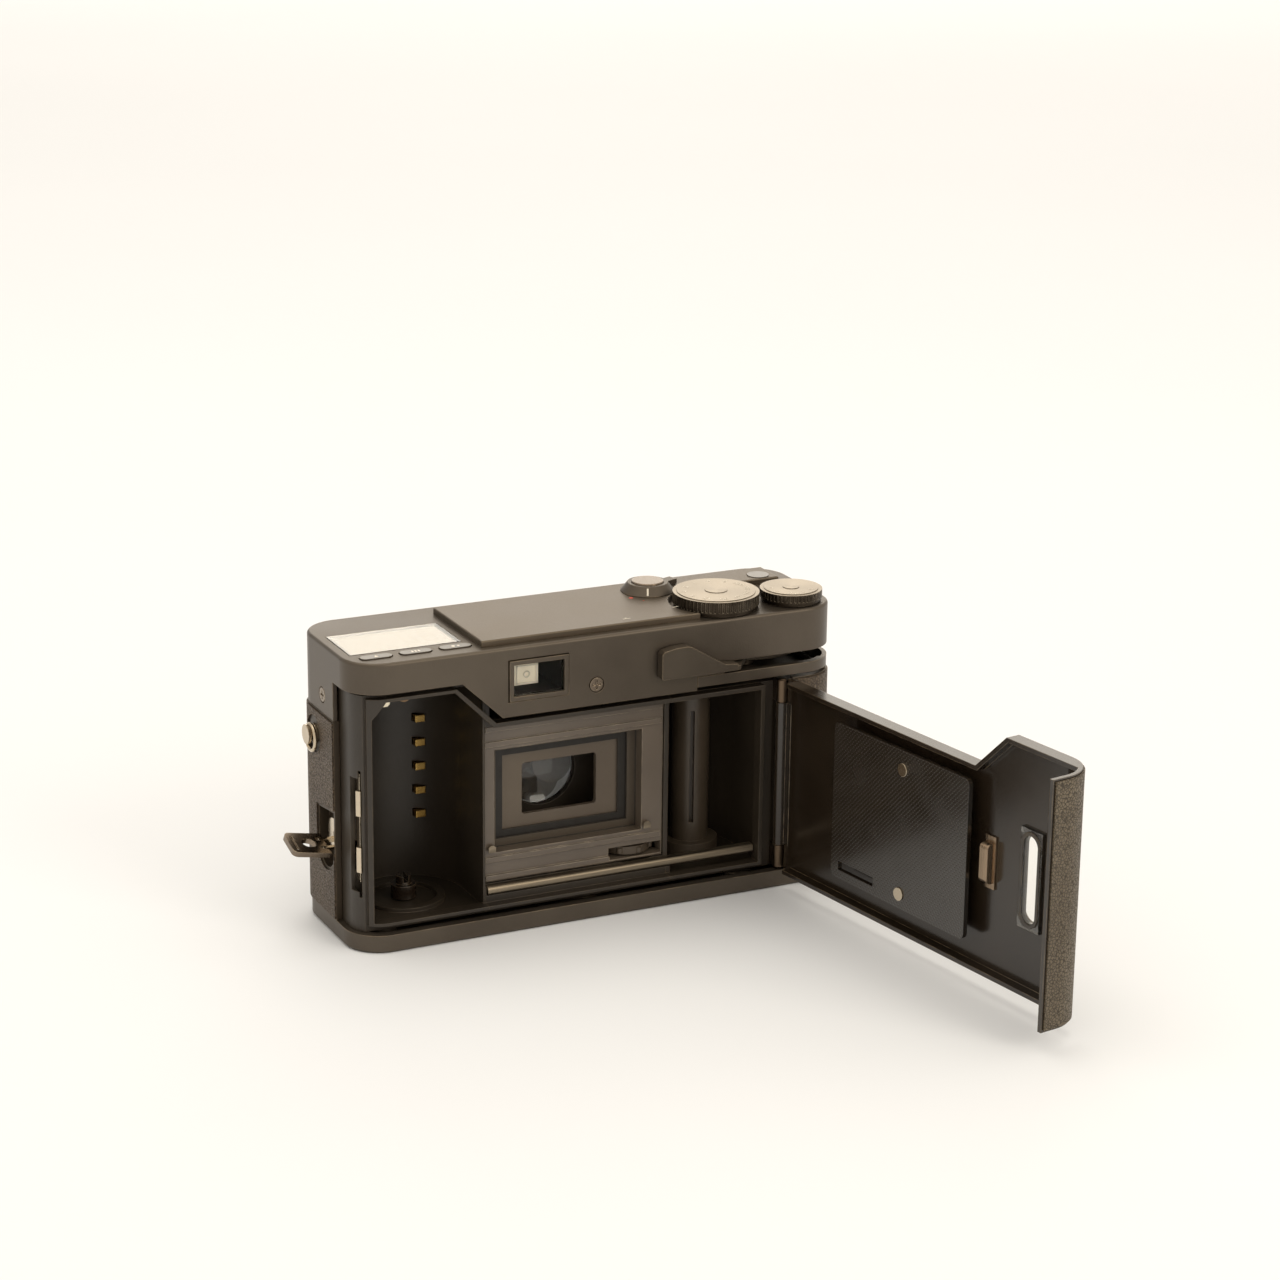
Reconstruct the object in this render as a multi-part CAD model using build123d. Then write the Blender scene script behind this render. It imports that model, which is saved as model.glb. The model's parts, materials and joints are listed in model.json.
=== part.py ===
from build123d import *
import math
import os

os.makedirs("parts", exist_ok=True)

# ---------------------------------------------------------------- overall size
BODY_W = 117.6          # width over the rounded ends
BODY_D = 35.2           # front to back, without the lens
BODY_H = 66.3           # underside to deck
CORNER_R = 8.4
BASE_H = 4.2            # base plate height
COVER_Z = 50.5          # lower edge of the top cover
TAB_Z = 59.4            # lower edge of the cover above the cassette chamber
WALL = 1.0              # sheet of cover and door
SHELL_T = 1.4
LEATHER_T = 0.4

# ---------------------------------------------------------------- fits
RUN = 0.05              # radial running clearance of shafts
GAP = 0.2               # seam between neighbouring panels
SLIDE = 0.25            # clearance round sliding buttons

# ---------------------------------------------------------------- derived frame
XR = BODY_W / 2
XL = -XR
YF = BODY_D / 2
YB = -YF
DECK = BODY_H

# ---------------------------------------------------------------- film path
GATE_W, GATE_H = 36.0, 24.0
GATE_X, GATE_Z = -6.0, 29.2
RAIL_Y = -12.3          # face of the film rails
FRAME_X0, FRAME_X1 = -27.0, 17.2
FRAME_Z0, FRAME_Z1 = 10.4, 47.4
CHAMBER_X, CHAMBER_Y, CHAMBER_R = -40.6, -1.5, 13.0
CHAMBER_Z0, CHAMBER_Z1 = 5.9, 57.6
SPOOL_X, SPOOL_Y, SPOOL_R = 29.6, -0.8, 4.4
TAKEUP_R = 11.2
TAKEUP_Z1 = 48.6
SPROCKET_X, SPROCKET_Y = 10.4, -6.2
MASK_Y = -6.6
FORK_X, FORK_Y = -41.8, -1.9
DX_X, DX_Z0, DX_PITCH = -33.4, 21.0, 5.65   # film-speed contacts
BAR_Z = 8.2             # underside of the ledge below the film path

# ---------------------------------------------------------------- lens
LENS_R = 22.0
LENS_LEN = 19.0
SLEEVE_R = LENS_R - 5.4         # the two rings turn on this
TUBE_R = LENS_R - 7.4           # the focusing barrel slides in the sleeve
GLASS_R = LENS_R - 11.0          # bore that holds the front element
NOSE_Y = 14.6           # back of the barrel's nose, in front of the body
FILTER_R = LENS_R - 3.5
FILTER_LEN = 2.6
REAR_Y = 4.4            # middle of the rear lens element
RING_LEN = (4.2, 5.5)   # aperture ring, focusing ring

# ---------------------------------------------------------------- door
HINGE_X, HINGE_Y = 45.0, -16.2
PIN_R = 0.9
DOOR_OPEN = 99.0        # opening of the door as stored, degrees
DOOR_Z0 = BASE_H + 0.25
DOOR_Z1 = COVER_Z - GAP
DOOR_TAB = TAB_Z - GAP
RIM = 2.4               # depth of the door's rim
FLANGE = 12.6           # how far the door wraps round the end
NOTCH_A, NOTCH_B = -33.8, -24.4   # ends of the slanted edge
PLATE_X0, PLATE_X1 = -24.4, 21.3
PLATE_Z0, PLATE_Z1 = 11.1, 47.2
PLATE_FACE = RAIL_Y - 0.6
PLATE_T = 1.1
PLATE_TRAVEL = 0.6
TAB_SEAM_Y = YB + FLANGE + GAP    # where the door's end flange meets cover and shell
RIM_FLOOR = YB + WALL + RIM + 0.35   # chassis face under the door's rim
RIDGE_LIFT = WALL + 0.2           # light-trap ridge, below the outside of the back
KNUCKLE_R, KNUCKLE_LEN = 1.4, 5.2
WIN_X, WIN_Z0, WIN_Z1, WIN_W = -41.3, 20.0, 39.4, 4.4   # film window
RIVET_X, RIVETS_Z, RIVET_R = -2.6, (14.4, 43.0), 0.9

# ---------------------------------------------------------------- top controls
PLATE_TOP = DECK + 1.4
D1_X, D1_Y, D1_R, D1_H = 32.1, -7.6, 9.8, 3.8
D2_X, D2_Y, D2_R, D2_H = 50.1, -9.7, 7.1, 3.0
SHUT_X, SHUT_Y = 21.4, 5.7
LEVER_X, LEVER_Y = 43.5, 1.0      # pivot of the advance lever
SLOT_Z0, SLOT_Z1 = 53.6, 56.4     # slot the lever arm travels in
SHAFT_R = 2.0
LEVER_DISC_R = 13.6               # round foot of the lever, seen in the slot
FINDER_X0, FINDER_X1 = -22.9, -8.9
FINDER_Z0, FINDER_Z1 = 54.0, 63.2
KEY_Y, KEY_Z = -0.6, 23.1         # axis of the latch key's stem
KEY_PIN = 2.9                     # hinge of the leaf, from that axis
POCKET_Y, POCKET_R = 0.4, 5.0     # recess of the key and its half width
KEY_TURN = 15.0
KEY_LIFT = 11.5                   # the leaf's stored tilt above level
KEY_LOW, KEY_TOP = 19.9, 24.6     # centre of the recess's round end, foot of its sloping top
LEAF_X = XL - 1.05
LUG_Y, LUG_Z = 6.6, 44.3
HOOK_Z = (18.0, 31.0)             # lower ends of the sliding hooks, door unlatched
HOOK_H = 5.8
BAND_X = 22.8                     # seam between cover and the band below the lever
LCD = (-56.3, -30.6, -9.0, 5.5)
PILLS = (-51.6, -42.5, -33.3)
PILL_Y = -12.3
WIND_X, WIND_Y, WIND_R = 50.2, 6.6, 2.6
PX0, PY0 = -28.3, -15.1           # rear left corner of the raised plate
FWIN = (-22.0, -8.5, 54.0, 62.6)
RWIN = (4.5, 10.5, 56.0, 61.0)
DIAL_STEM_R, SHUT_NECK_R, SHUT_STEM_R = 2.4, 2.2, 1.4

# ---------------------------------------------------------------- screws, battery, tripod
HEAD_R, SHANK_R, BORE_R, SINK_R = 1.6, 0.95, 1.0, 1.85
CROSS, CROSS_W = 1.0, 0.22        # half length and half width of the cross slot
SCREW_BX, SCREW_BZ = -2.0, 55.2
SCREW_SY = 1.8
SIDE_SCREWS = ((-1, 54.6), (1, 61.4))
BASE_SCREWS = ((-50, 10), (-50, -10), (36, 12.6), (36, -12.6))
BATT_X, BATT_Y, BATT_COVER_R = 49.6, 3.0, 6.6
CELL_R, CELL_H = 5.8, 10.8
THREAD_R, THREAD_LEN = 3.175, 6.4   # 1/4 inch tripod thread
BUSH_R, BUSH_FLANGE_R = 6.0, 7.6


def box(x0, x1, y0, y1, z0, z1):
    return Pos((x0 + x1) / 2, (y0 + y1) / 2, (z0 + z1) / 2) * Box(x1 - x0, y1 - y0, z1 - z0)


def zrod(x, y, r, z0, z1):
    return Pos(x, y, (z0 + z1) / 2) * Cylinder(r, z1 - z0)


def yrod(x, z, r, y0, y1):
    return Pos(x, (y0 + y1) / 2, z) * Rot(90, 0, 0) * Cylinder(r, y1 - y0)


def xrod(y, z, r, x0, x1):
    return Pos((x0 + x1) / 2, y, z) * Rot(0, 90, 0) * Cylinder(r, x1 - x0)


def slab(inset, z0, z1):
    """Body outline, shrunk by inset, between two heights."""
    outline = RectangleRounded(BODY_W - 2 * inset, BODY_D - 2 * inset, CORNER_R - inset)
    return extrude(Pos(0, 0, z0) * outline, z1 - z0)


def save(shape, node):
    export_step(shape, "parts/" + node + ".step")


def group(items):
    return Compound(children=items)


def xz_prism(pts, y0, y1):
    """Prism from a closed X, Z outline, running from y0 to y1."""
    face = make_face(Polyline(*[(x, 0, z) for x, z in pts], close=True))
    return Pos(0, y0, 0) * extrude(face, amount=(y1 - y0), dir=(0, 1, 0))


def ring_z(x, y, r_out, r_in, z0, z1):
    return zrod(x, y, r_out, z0, z1) - zrod(x, y, r_in, z0 - 1, z1 + 1)


def ring_y(x, z, r_out, r_in, y0, y1):
    return yrod(x, z, r_out, y0, y1) - yrod(x, z, r_in, y0 - 1, y1 + 1)


# ================================================================ shells
def base_plate():
    body = slab(0, 0, BASE_H)
    body = chamfer(body.faces().sort_by(Axis.Z)[0].edges(), 0.6)
    body -= slab(2.2, 1.6, BASE_H + 1)
    body -= zrod(0, 0, BUSH_R, -1, 5)
    body += ring_z(0, 0, BUSH_R + 3.0, BUSH_R, 0.0, BASE_H)
    body -= zrod(BATT_X, BATT_Y, BATT_COVER_R + SLIDE, -1, 5)
    bore = BATT_COVER_R + SLIDE
    body += ring_z(BATT_X, BATT_Y, bore + 0.9, bore, 0.6, BASE_H) & slab(0.4, 0, 5)
    for x, y in BASE_SCREWS:
        body += zrod(x, y, 3.2, 0.3, BASE_H) & slab(1.0, 0, 9)
        body -= zrod(x, y, BORE_R, -1, 5)
        body -= zrod(x, y, SINK_R, -1, 1.0)
    return body


def screw_z(x, y, z):
    """Cross-head screw driven upwards; its head's outer face is at z."""
    head = zrod(x, y, HEAD_R, z, z + 0.9)
    shank = zrod(x, y, SHANK_R, z + 0.9, z + 4.2)
    cross = box(x - CROSS, x + CROSS, y - CROSS_W, y + CROSS_W, z - 0.45, z + 0.45)
    cross += box(x - CROSS_W, x + CROSS_W, y - CROSS, y + CROSS, z - 0.45, z + 0.45)
    return head + shank - cross


def tripod_bush():
    body = zrod(0, 0, BUSH_R - 0.05, 0, BASE_H) + zrod(0, 0, BUSH_FLANGE_R, BASE_H, THREAD_LEN + 1.2)
    return body - zrod(0, 0, THREAD_R, -1, THREAD_LEN)


def top_cover():
    body = slab(0, COVER_Z, DECK)
    top = body.faces().sort_by(Axis.Z)[-1]
    body = fillet(top.edges(), 0.7)
    body -= slab(WALL, COVER_Z - 1, DECK - 1.2)
    tab = xz_prism([(XL - 3, COVER_Z - 3), (NOTCH_B + 0.9, COVER_Z - 3), (NOTCH_B, COVER_Z),
                    (NOTCH_A, TAB_Z), (XL - 3, TAB_Z)], YB - 2, TAB_SEAM_Y)
    body -= tab
    body -= lever_slot()
    body -= box(BAND_X - 0.1, XR + 2, YB - 2, YB + 3, COVER_Z - 2, SLOT_Z0 + 0.1)
    body -= finder_hole(GAP)
    body -= box(LCD[0] - GAP, LCD[1] + GAP, LCD[2] - GAP, LCD[3] + GAP, DECK - 3, DECK + 1)
    for x in PILLS:
        body -= pill(x, SLIDE, DECK - 3, DECK + 1)
    body -= zrod(D1_X, D1_Y, DIAL_STEM_R, DECK - 3, DECK + 1)
    body -= zrod(D2_X, D2_Y, DIAL_STEM_R, DECK - 3, DECK + 1)
    body -= zrod(SHUT_X, SHUT_Y, SHUT_NECK_R, DECK - 3, DECK + 1)
    body -= zrod(WIND_X, WIND_Y, WIND_R, DECK - 3, DECK + 1)
    body -= yrod(SCREW_BX, SCREW_BZ, BORE_R, YB - 1, YB + 2)
    body -= yrod(SCREW_BX, SCREW_BZ, SINK_R, YB - 1, YB + 0.5)
    body -= box(FWIN[0], FWIN[1], YF - 3, YF + 1, FWIN[2], FWIN[3])
    body -= box(RWIN[0], RWIN[1], YF - 3, YF + 1, RWIN[2], RWIN[3])
    for sx, z in SIDE_SCREWS:
        body -= xrod(SCREW_SY, z, BORE_R, sx * XR - 2, sx * XR + 2)
        body -= xrod(SCREW_SY, z, SINK_R, sx * XR - 0.5, sx * XR + 0.5)
    return body


def lever_slot():
    """Slot round the right end in which the lever's arm swings."""
    outer = slab(-2, SLOT_Z0, SLOT_Z1)
    inner = slab(1.7, SLOT_Z0 - 1, SLOT_Z1 + 1)
    keep = box(29.5, XR + 4, YB - 4, 9.0, SLOT_Z0 - 1, SLOT_Z1 + 1)
    return (outer - inner) & keep


def finder_hole(extra):
    return box(FINDER_X0 - extra, FINDER_X1 + extra, YB - 2, YB + 3, FINDER_Z0 - extra, FINDER_Z1 + extra)


def pill(x, grow, z0, z1):
    outline = SlotOverall(7.2 + 2 * grow, 2.5 + 2 * grow)
    return extrude(Pos(x, PILL_Y, z0) * outline, z1 - z0)


def body_band():
    """Strip below the lever slot, from the seam to the right end."""
    strip = slab(0, COVER_Z + 0.7, SLOT_Z0) - slab(WALL + 0.6, COVER_Z, SLOT_Z0 + 1)
    strip &= box(BAND_X, XR + 2, YB - 2, YB + 3, COVER_Z, SLOT_Z0 + 1)
    return strip


def top_plate():
    outline = Polyline((PX0, PY0), (25.5, PY0), (25.5, -1.0), (41.0, 3.6), (54.0, 3.6), (54.0, 12.4),
                       (PX0, 12.4), close=True)
    plate = extrude(Pos(0, 0, DECK) * make_face(outline), 1.4)
    plate -= zrod(D1_X, D1_Y, D1_R + 0.9, DECK - 1, DECK + 3)
    plate -= zrod(D2_X, D2_Y, D2_R + 0.6, DECK - 1, DECK + 3)
    plate = fillet(plate.faces().sort_by(Axis.Z)[-1].edges(), 0.3)
    plate -= zrod(SHUT_X, SHUT_Y, SHUT_NECK_R, DECK - 1, DECK + 3)
    plate -= zrod(WIND_X, WIND_Y, WIND_R, DECK - 1, DECK + 3)
    return plate


def front_shell():
    body = slab(0, BASE_H + 0.05, COVER_Z - 0.1) - slab(SHELL_T, BASE_H - 1, COVER_Z + 1)
    body -= box(XL - 1, HINGE_X + 1.9, YB - 1, YB + 4, 0, 60)
    body -= box(XL - 1, XL + 12, YB - 1, TAB_SEAM_Y, 0, 60)
    body -= yrod(GATE_X, GATE_Z, LENS_R - 3.0 + 0.1, YF - 4, YF + 2)
    body -= key_pocket_cut()
    for sx in (-1, 1):
        body -= xrod(LUG_Y, LUG_Z, 2.3, sx * XR - 4, sx * XR + 4)
    return body + key_housing()


def key_pocket_cut():
    """Recess in the left end that takes the folded key."""
    return key_pocket(POCKET_R, XL - 1, XL + 3.5)


def key_pocket(r, x0, x1):
    """Pocket outline: round below, straight sides, sloping top."""
    y0, y1 = POCKET_Y - r, POCKET_Y + r
    pts = [(y0, KEY_LOW), (y1, KEY_LOW), (y1, KEY_TOP - 1.2 + r), (y0, KEY_TOP + r)]
    face = make_face(Polyline(*[(0, y, z) for y, z in pts], close=True))
    return xrod(POCKET_Y, KEY_LOW, r, x0, x1) + Pos(x0, 0, 0) * extrude(face, amount=x1 - x0, dir=(1, 0, 0))


def key_housing():
    """Lining of the key recess, a cup let into the shell, with a round floor for the stem."""
    cup = key_pocket(POCKET_R - 0.02, XL, XL + 3.4) - key_pocket(POCKET_R - 0.4, XL - 1, XL + 2.4)
    return cup - xrod(KEY_Y, KEY_Z, 1.5 + RUN, XL - 1, XL + 6)


def skin(inset, z0, z1, keep):
    """Thin sheet lying on the outside of the body, limited to a box."""
    sheet = slab(-LEATHER_T, z0, z1) - slab(-0.02, z0 - 1, z1 + 1)
    return sheet & keep


def leather_left():
    """Leatherette on the left end, cut out round the key recess and the strap lug."""
    sheet = skin(0, BASE_H + 0.4, COVER_Z - 0.5, box(XL - 2, XL + 7.8, -4.8, YF + 2, 0, 60))
    return sheet - key_pocket(POCKET_R + 0.2, XL - 2, XL + 4) - xrod(LUG_Y, LUG_Z, 4.2, XL - 2, XL + 4)


def leather_front():
    sheet = skin(0, BASE_H + 0.4, COVER_Z - 0.5, box(XL + 8, XR - 8, 0, YF + 2, 0, 60))
    return sheet - yrod(GATE_X, GATE_Z, LENS_R + 1.2, 5, YF + 4)


def leather_right():
    keep = box(XR - 7.8, XR + 2, YB + 8, YF + 2, 0, 60)
    sheet = skin(0, BASE_H + 0.4, COVER_Z - 0.5, keep)
    return sheet - xrod(LUG_Y, LUG_Z, 4.2, XR - 4, XR + 4)


def leather_back():
    return skin(0, BASE_H + 0.4, COVER_Z - 0.5, box(HINGE_X + 2.6, XR + 2, YB - 2, YB + 7.8, 0, 60))


def body_leather():
    return group([leather_left(), leather_front(), leather_right(), leather_back()])


# ================================================================ chassis
def chassis():
    """The whole casting, cut into three where the rail frame's edges hide the joins."""
    body = slab(SHELL_T + 0.1, BASE_H + 0.1, CHAMBER_Z1 + 1.0)
    body -= box(-26.0, XR + 5, YB - 5, YF + 5, COVER_Z - 1.4, 70)
    body -= box(XL - 5, -26.0, 12.0, YF + 5, COVER_Z - 1.4, 70)
    body -= box(XL - 5, HINGE_X + 2.2, YB - 5, RIM_FLOOR, 0, 70)
    body -= zrod(CHAMBER_X, CHAMBER_Y, CHAMBER_R, CHAMBER_Z0, CHAMBER_Z1)
    body -= box(CHAMBER_X - CHAMBER_R, CHAMBER_X + CHAMBER_R, YB - 5, CHAMBER_Y, CHAMBER_Z0, CHAMBER_Z1)
    body -= zrod(SPOOL_X, SPOOL_Y, TAKEUP_R, CHAMBER_Z0, TAKEUP_Z1)
    body -= box(SPOOL_X - TAKEUP_R, SPOOL_X + TAKEUP_R, YB - 5, SPOOL_Y, CHAMBER_Z0, TAKEUP_Z1)
    body -= box(FRAME_X0 - 0.1, FRAME_X1 + 0.1, YB - 5, RAIL_Y + 3.6, FRAME_Z0 - 0.1, FRAME_Z1 + 0.1)
    body -= box(FRAME_X1, SPOOL_X - TAKEUP_R + 0.5, YB - 5, RAIL_Y, FRAME_Z0 - 0.1, FRAME_Z1 + 0.1)
    body -= box(GATE_X - 19.5, GATE_X + 19.5, -15, MASK_Y + 1.4, GATE_Z - 13.6, GATE_Z + 13.6)
    body -= yrod(GATE_X, GATE_Z, LENS_R - 2.9, MASK_Y + 1.3, YF + 3)
    body -= zrod(SPROCKET_X, SPROCKET_Y, 7.0, 10.0, 15.0)
    body -= zrod(SPROCKET_X, SPROCKET_Y, 1.5 + RUN, 6.0, 11)
    body -= zrod(SPOOL_X, SPOOL_Y, 2.0 + RUN, 4.0, 7)
    body -= zrod(SPOOL_X, SPOOL_Y, 2.0 + RUN, TAKEUP_Z1 - 1, 52)
    body -= zrod(FORK_X, FORK_Y, 2.0 + RUN, 3.0, 7)
    body -= zrod(BATT_X, BATT_Y, CELL_R + 0.2, 3, 3 + 2 * CELL_H)
    body -= zrod(BATT_X, BATT_Y, BATT_COVER_R + 1.3, 3, BASE_H + 0.4)
    body -= zrod(0, 0, 7.7, 3, 7.7)
    body -= zrod(HINGE_X, HINGE_Y, 2.6, 0, 70)
    body -= key_pocket_cut() + xrod(KEY_Y, KEY_Z, 2.6, XL - 1, XL + 5.1)
    body -= dx_slots(0.15)
    for sx in (-1, 1):
        body -= xrod(LUG_Y, LUG_Z, 1.6, sx * XR - 6, sx * XR + 6)
        body -= xrod(LUG_Y, LUG_Z, 2.3, sx * (XR - 1.7) - 0.7, sx * (XR - 1.7) + 0.7)
    for x, y in BASE_SCREWS:
        body -= zrod(x, y, 0.95, 3, 5.2)
    body += ridge()
    body -= latch_channel()
    body -= box(FRAME_X0 + 0.2, 39.6, YB, -12.38, BAR_Z - 0.1, BAR_Z + 2.1)
    body -= xrod(SCREW_SY, SIDE_SCREWS[0][1], SHANK_R, XL - 1, XL + 3)
    body += ring_z(FORK_X, FORK_Y, 9.2, 7.4, CHAMBER_Z0 - 0.2, CHAMBER_Z0 + 0.9)
    return body


def chassis_part(x0, x1):
    return CHASSIS & box(x0, x1, YB - 5, YF + 5, 0, 70)


def cassette_chassis():
    return chassis_part(XL - 5, FRAME_X0 - 0.1)


def gate_chassis():
    return chassis_part(FRAME_X0 - 0.1, FRAME_X1 + 0.1)


def spool_chassis():
    return chassis_part(FRAME_X1 + 0.1, XR + 5)


def ridge():
    """Light-trap ridge that stands inside the door's rim and follows its round end."""
    x0, x1 = XL + 3.9, HINGE_X - 4.4
    out = [(x0, DOOR_Z0 + WALL + 0.3), (x1, DOOR_Z0 + WALL + 0.3), (x1, DOOR_Z1 - WALL - 0.3),
           (NOTCH_B - 0.9, DOOR_Z1 - WALL - 0.3),
            (NOTCH_A - 0.7, DOOR_TAB - WALL - 0.3), (x0, DOOR_TAB - WALL - 0.3)]
    inn = [(x0 + 1, CHAMBER_Z0 + 0.6), (x1 - 0.9, CHAMBER_Z0 + 0.6), (x1 - 0.9, DOOR_Z1 - WALL - 1.3),
           (NOTCH_B - 1.4, DOOR_Z1 - WALL - 1.3), (NOTCH_A - 1.2, CHAMBER_Z1 - 0.4),
           (x0 + 4, CHAMBER_Z1 - 0.4), (x0 + 1, CHAMBER_Z1 - 4.4)]
    y1 = RIM_FLOOR + 0.5
    wall = xz_prism(out, YB + RIDGE_LIFT, y1) - xz_prism(inn, YB, y1 + 1)
    return wall & slab(WALL + 0.35, 0, 70)


def latch_channel():
    """Slot behind the door's end flange for the hooks, with room for the bar and its foot."""
    cut = box(XL - 1, XL + 2.85, YB - 1, -10.25, 13.4, 39.6)
    cut += box(XL + 2.5, XL + 4.3, -13.35, -10.15, 12.2, 41.4)
    return cut + box(XL + 2.5, XL + 4.6, -10.3, KEY_Y - 1.2, KEY_Z - 5.4, KEY_Z + 1.4)


def dx_slots(grow):
    body = None
    for i in range(5):
        z = DX_Z0 + i * DX_PITCH
        pin = box(DX_X - 1.15 - grow, DX_X + 1.15 + grow, 4.0, 12.6, z - 0.8 - grow, z + 0.8 + grow)
        body = pin if body is None else body + pin
    return body


def dx_contacts():
    pins = []
    for i in range(5):
        z = DX_Z0 + i * DX_PITCH
        pins.append(box(DX_X - 1.15, DX_X + 1.15, 8.2, 12.4, z - 0.8, z + 0.8))
    return group(pins)


def rail_frame():
    y0, y1 = RAIL_Y + 0.5, RAIL_Y + 3.5
    body = box(FRAME_X0, FRAME_X1, y0, y1, FRAME_Z0, FRAME_Z1)
    for z in (GATE_Z - 14.1, GATE_Z + 12.9):
        body += box(FRAME_X0 + 0.6, FRAME_X1 - 0.6, RAIL_Y, y0, z, z + 1.2)
    for z in (FRAME_Z0 + 0.5, FRAME_Z1 - 1.7):
        body += box(FRAME_X0 + 0.6, FRAME_X1 - 0.6, RAIL_Y - 0.2, y0, z, z + 1.2)
    body -= box(GATE_X - GATE_W / 2, GATE_X + GATE_W / 2, YB, 0, GATE_Z - GATE_H / 2, GATE_Z + GATE_H / 2)
    body -= box(SPROCKET_X - 6.55, SPROCKET_X + 6.55, YB, 0, 11.2, 13.8)
    return body


def light_baffle():
    """Stepped funnel between the film gate and the mask."""
    y = RAIL_Y + 3.6
    depth = MASK_Y - y
    body = box(GATE_X - 19.4, GATE_X + 19.4, y, MASK_Y, GATE_Z - 13.5, GATE_Z + 13.5)
    for i in range(3):
        w = GATE_W / 2 - 1.9 * i
        h = GATE_H / 2 - 1.6 * i
        end = MASK_Y + 1 if i == 2 else y + depth * (i + 1) / 3
        body -= box(GATE_X - w, GATE_X + w, y - 1, end, GATE_Z - h, GATE_Z + h)
    return body


def gate_mask():
    body = box(GATE_X - 19.4, GATE_X + 19.4, MASK_Y + 0.05, MASK_Y + 1.25, GATE_Z - 13.5, GATE_Z + 13.5)
    window = RectangleRounded(18.2, 12.1, 0.8)
    hole = extrude(Pos(GATE_X, MASK_Y, GATE_Z) * Rot(90, 0, 0) * window, 3, both=True)
    return body - hole


def guide_bar():
    """Rounded ledge below the film path."""
    bar = box(FRAME_X0 + 0.4, 39.4, -14.4, -12.4, BAR_Z, BAR_Z + 2.0)
    bar = fillet(bar.edges().filter_by(Axis.X).group_by(Axis.Y)[0], 0.8)
    return bar


# ================================================================ lens
def lens_mount():
    """Tube fixed in the body that carries shutter and rings."""
    body = ring_y(GATE_X, GATE_Z, LENS_R - 3.0, LENS_R - 6.0, 1.0, YF + 3.0)
    body += ring_y(GATE_X, GATE_Z, LENS_R, LENS_R - 6.0, YF + 0.45, YF + 3.0)
    body += ring_y(GATE_X, GATE_Z, LENS_R - 6.0 + 0.1, 8.9, 7.0, 7.8)
    return group([body + lens_sleeve(), rear_ring()])


def rear_ring():
    return ring_y(GATE_X, GATE_Z, LENS_R - 6.05, 8.25, REAR_Y - 1.4, REAR_Y + 2.0)


def lens_disc(r, y0, y1, bulge):
    """Glass element between y0 and y1 whose faces swell by bulge."""
    body = yrod(GATE_X, GATE_Z, r, y0 - 1, y1 + 1)
    rim = r + 0.2
    ball = (rim * rim + bulge * bulge) / (2 * bulge)
    mid = (y0 + y1) / 2
    half = (y1 - y0) / 2
    a = Pos(GATE_X, mid + ball - half, GATE_Z) * Sphere(ball)
    b = Pos(GATE_X, mid - ball + half, GATE_Z) * Sphere(ball)
    return body & a & b


def rear_element():
    return lens_disc(8.2, REAR_Y - 1.0, REAR_Y + 1.8, 0.9)


def shutter_blades():
    blades = []
    for i in range(5):
        a = math.radians(72 * i)
        cx, cz = GATE_X + 4.1 * math.cos(a), GATE_Z + 4.1 * math.sin(a)
        blades.append(yrod(cx, cz, 4.6, 7.9 + 0.45 * i, 8.25 + 0.45 * i))
    return group(blades)


def knurl_ring_y(x, z, r, y0, y1, count, depth):
    """Cutter of straight grooves round a ring that lies along Y."""
    cut = []
    for i in range(count):
        a = 2 * math.pi * i / count
        cut.append(Pos(x + r * math.cos(a), (y0 + y1) / 2, z + r * math.sin(a)) * Rot(0, -math.degrees(a), 0)
                   * Box(2 * depth, y1 - y0, 2 * math.pi * r / count * 0.42))
    return cut


def aperture_ring():
    y0 = YF + 3.2
    body = ring_y(GATE_X, GATE_Z, LENS_R - 0.6, SLEEVE_R + RUN, y0, y0 + RING_LEN[0])
    return body - knurl_ring_y(GATE_X, GATE_Z, LENS_R - 0.6, y0 + 1.4, y0 + 3.8, 48, 0.5)


def focus_ring():
    y0 = YF + 7.7
    body = ring_y(GATE_X, GATE_Z, LENS_R - 0.9, SLEEVE_R + RUN, y0, y0 + RING_LEN[1])
    return body - knurl_ring_y(GATE_X, GATE_Z, LENS_R - 0.9, y0 + 0.9, y0 + 4.7, 44, 0.5)


def lens_sleeve():
    """Fixed sleeve on which the two rings turn."""
    body = ring_y(GATE_X, GATE_Z, SLEEVE_R, TUBE_R + RUN, YF + 3.0, YF + 13.0)
    body += ring_y(GATE_X, GATE_Z, SLEEVE_R + 1.4, TUBE_R + RUN, YF + 7.45, YF + 7.65)
    return body


def lens_barrel():
    """Nose of the barrel, with the filter thread; it moves when focusing."""
    seat = YF + LENS_LEN - FILTER_LEN
    body = ring_y(GATE_X, GATE_Z, LENS_R - 1.0, GLASS_R, YF + NOSE_Y, YF + LENS_LEN)
    return body - yrod(GATE_X, GATE_Z, FILTER_R, seat, YF + LENS_LEN + 1)


def lens_tube():
    """Tube behind the barrel's nose, which slides in the sleeve."""
    return ring_y(GATE_X, GATE_Z, TUBE_R, GLASS_R, YF - 5.0, YF + NOSE_Y)


def front_element():
    return lens_disc(GLASS_R - 0.05, YF + 11.0, YF + 15.4, 1.5)


# ================================================================ finder and electronics
def finder_bezel():
    outer = box(FINDER_X0, FINDER_X1, YB - 0.35, YB + 1.6, FINDER_Z0, FINDER_Z1)
    return outer - box(FINDER_X0 + 1, FINDER_X1 - 1, YB - 2, YB + 3, FINDER_Z0 + 1, FINDER_Z1 - 1)


def finder_eyepiece():
    """Glass behind the bezel."""
    return box(FINDER_X0 + 1.05, FINDER_X1 - 1.05, YB + 0.4, YB + 1.4, FINDER_Z0 + 1.05, FINDER_Z1 - 1.05)


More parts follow.
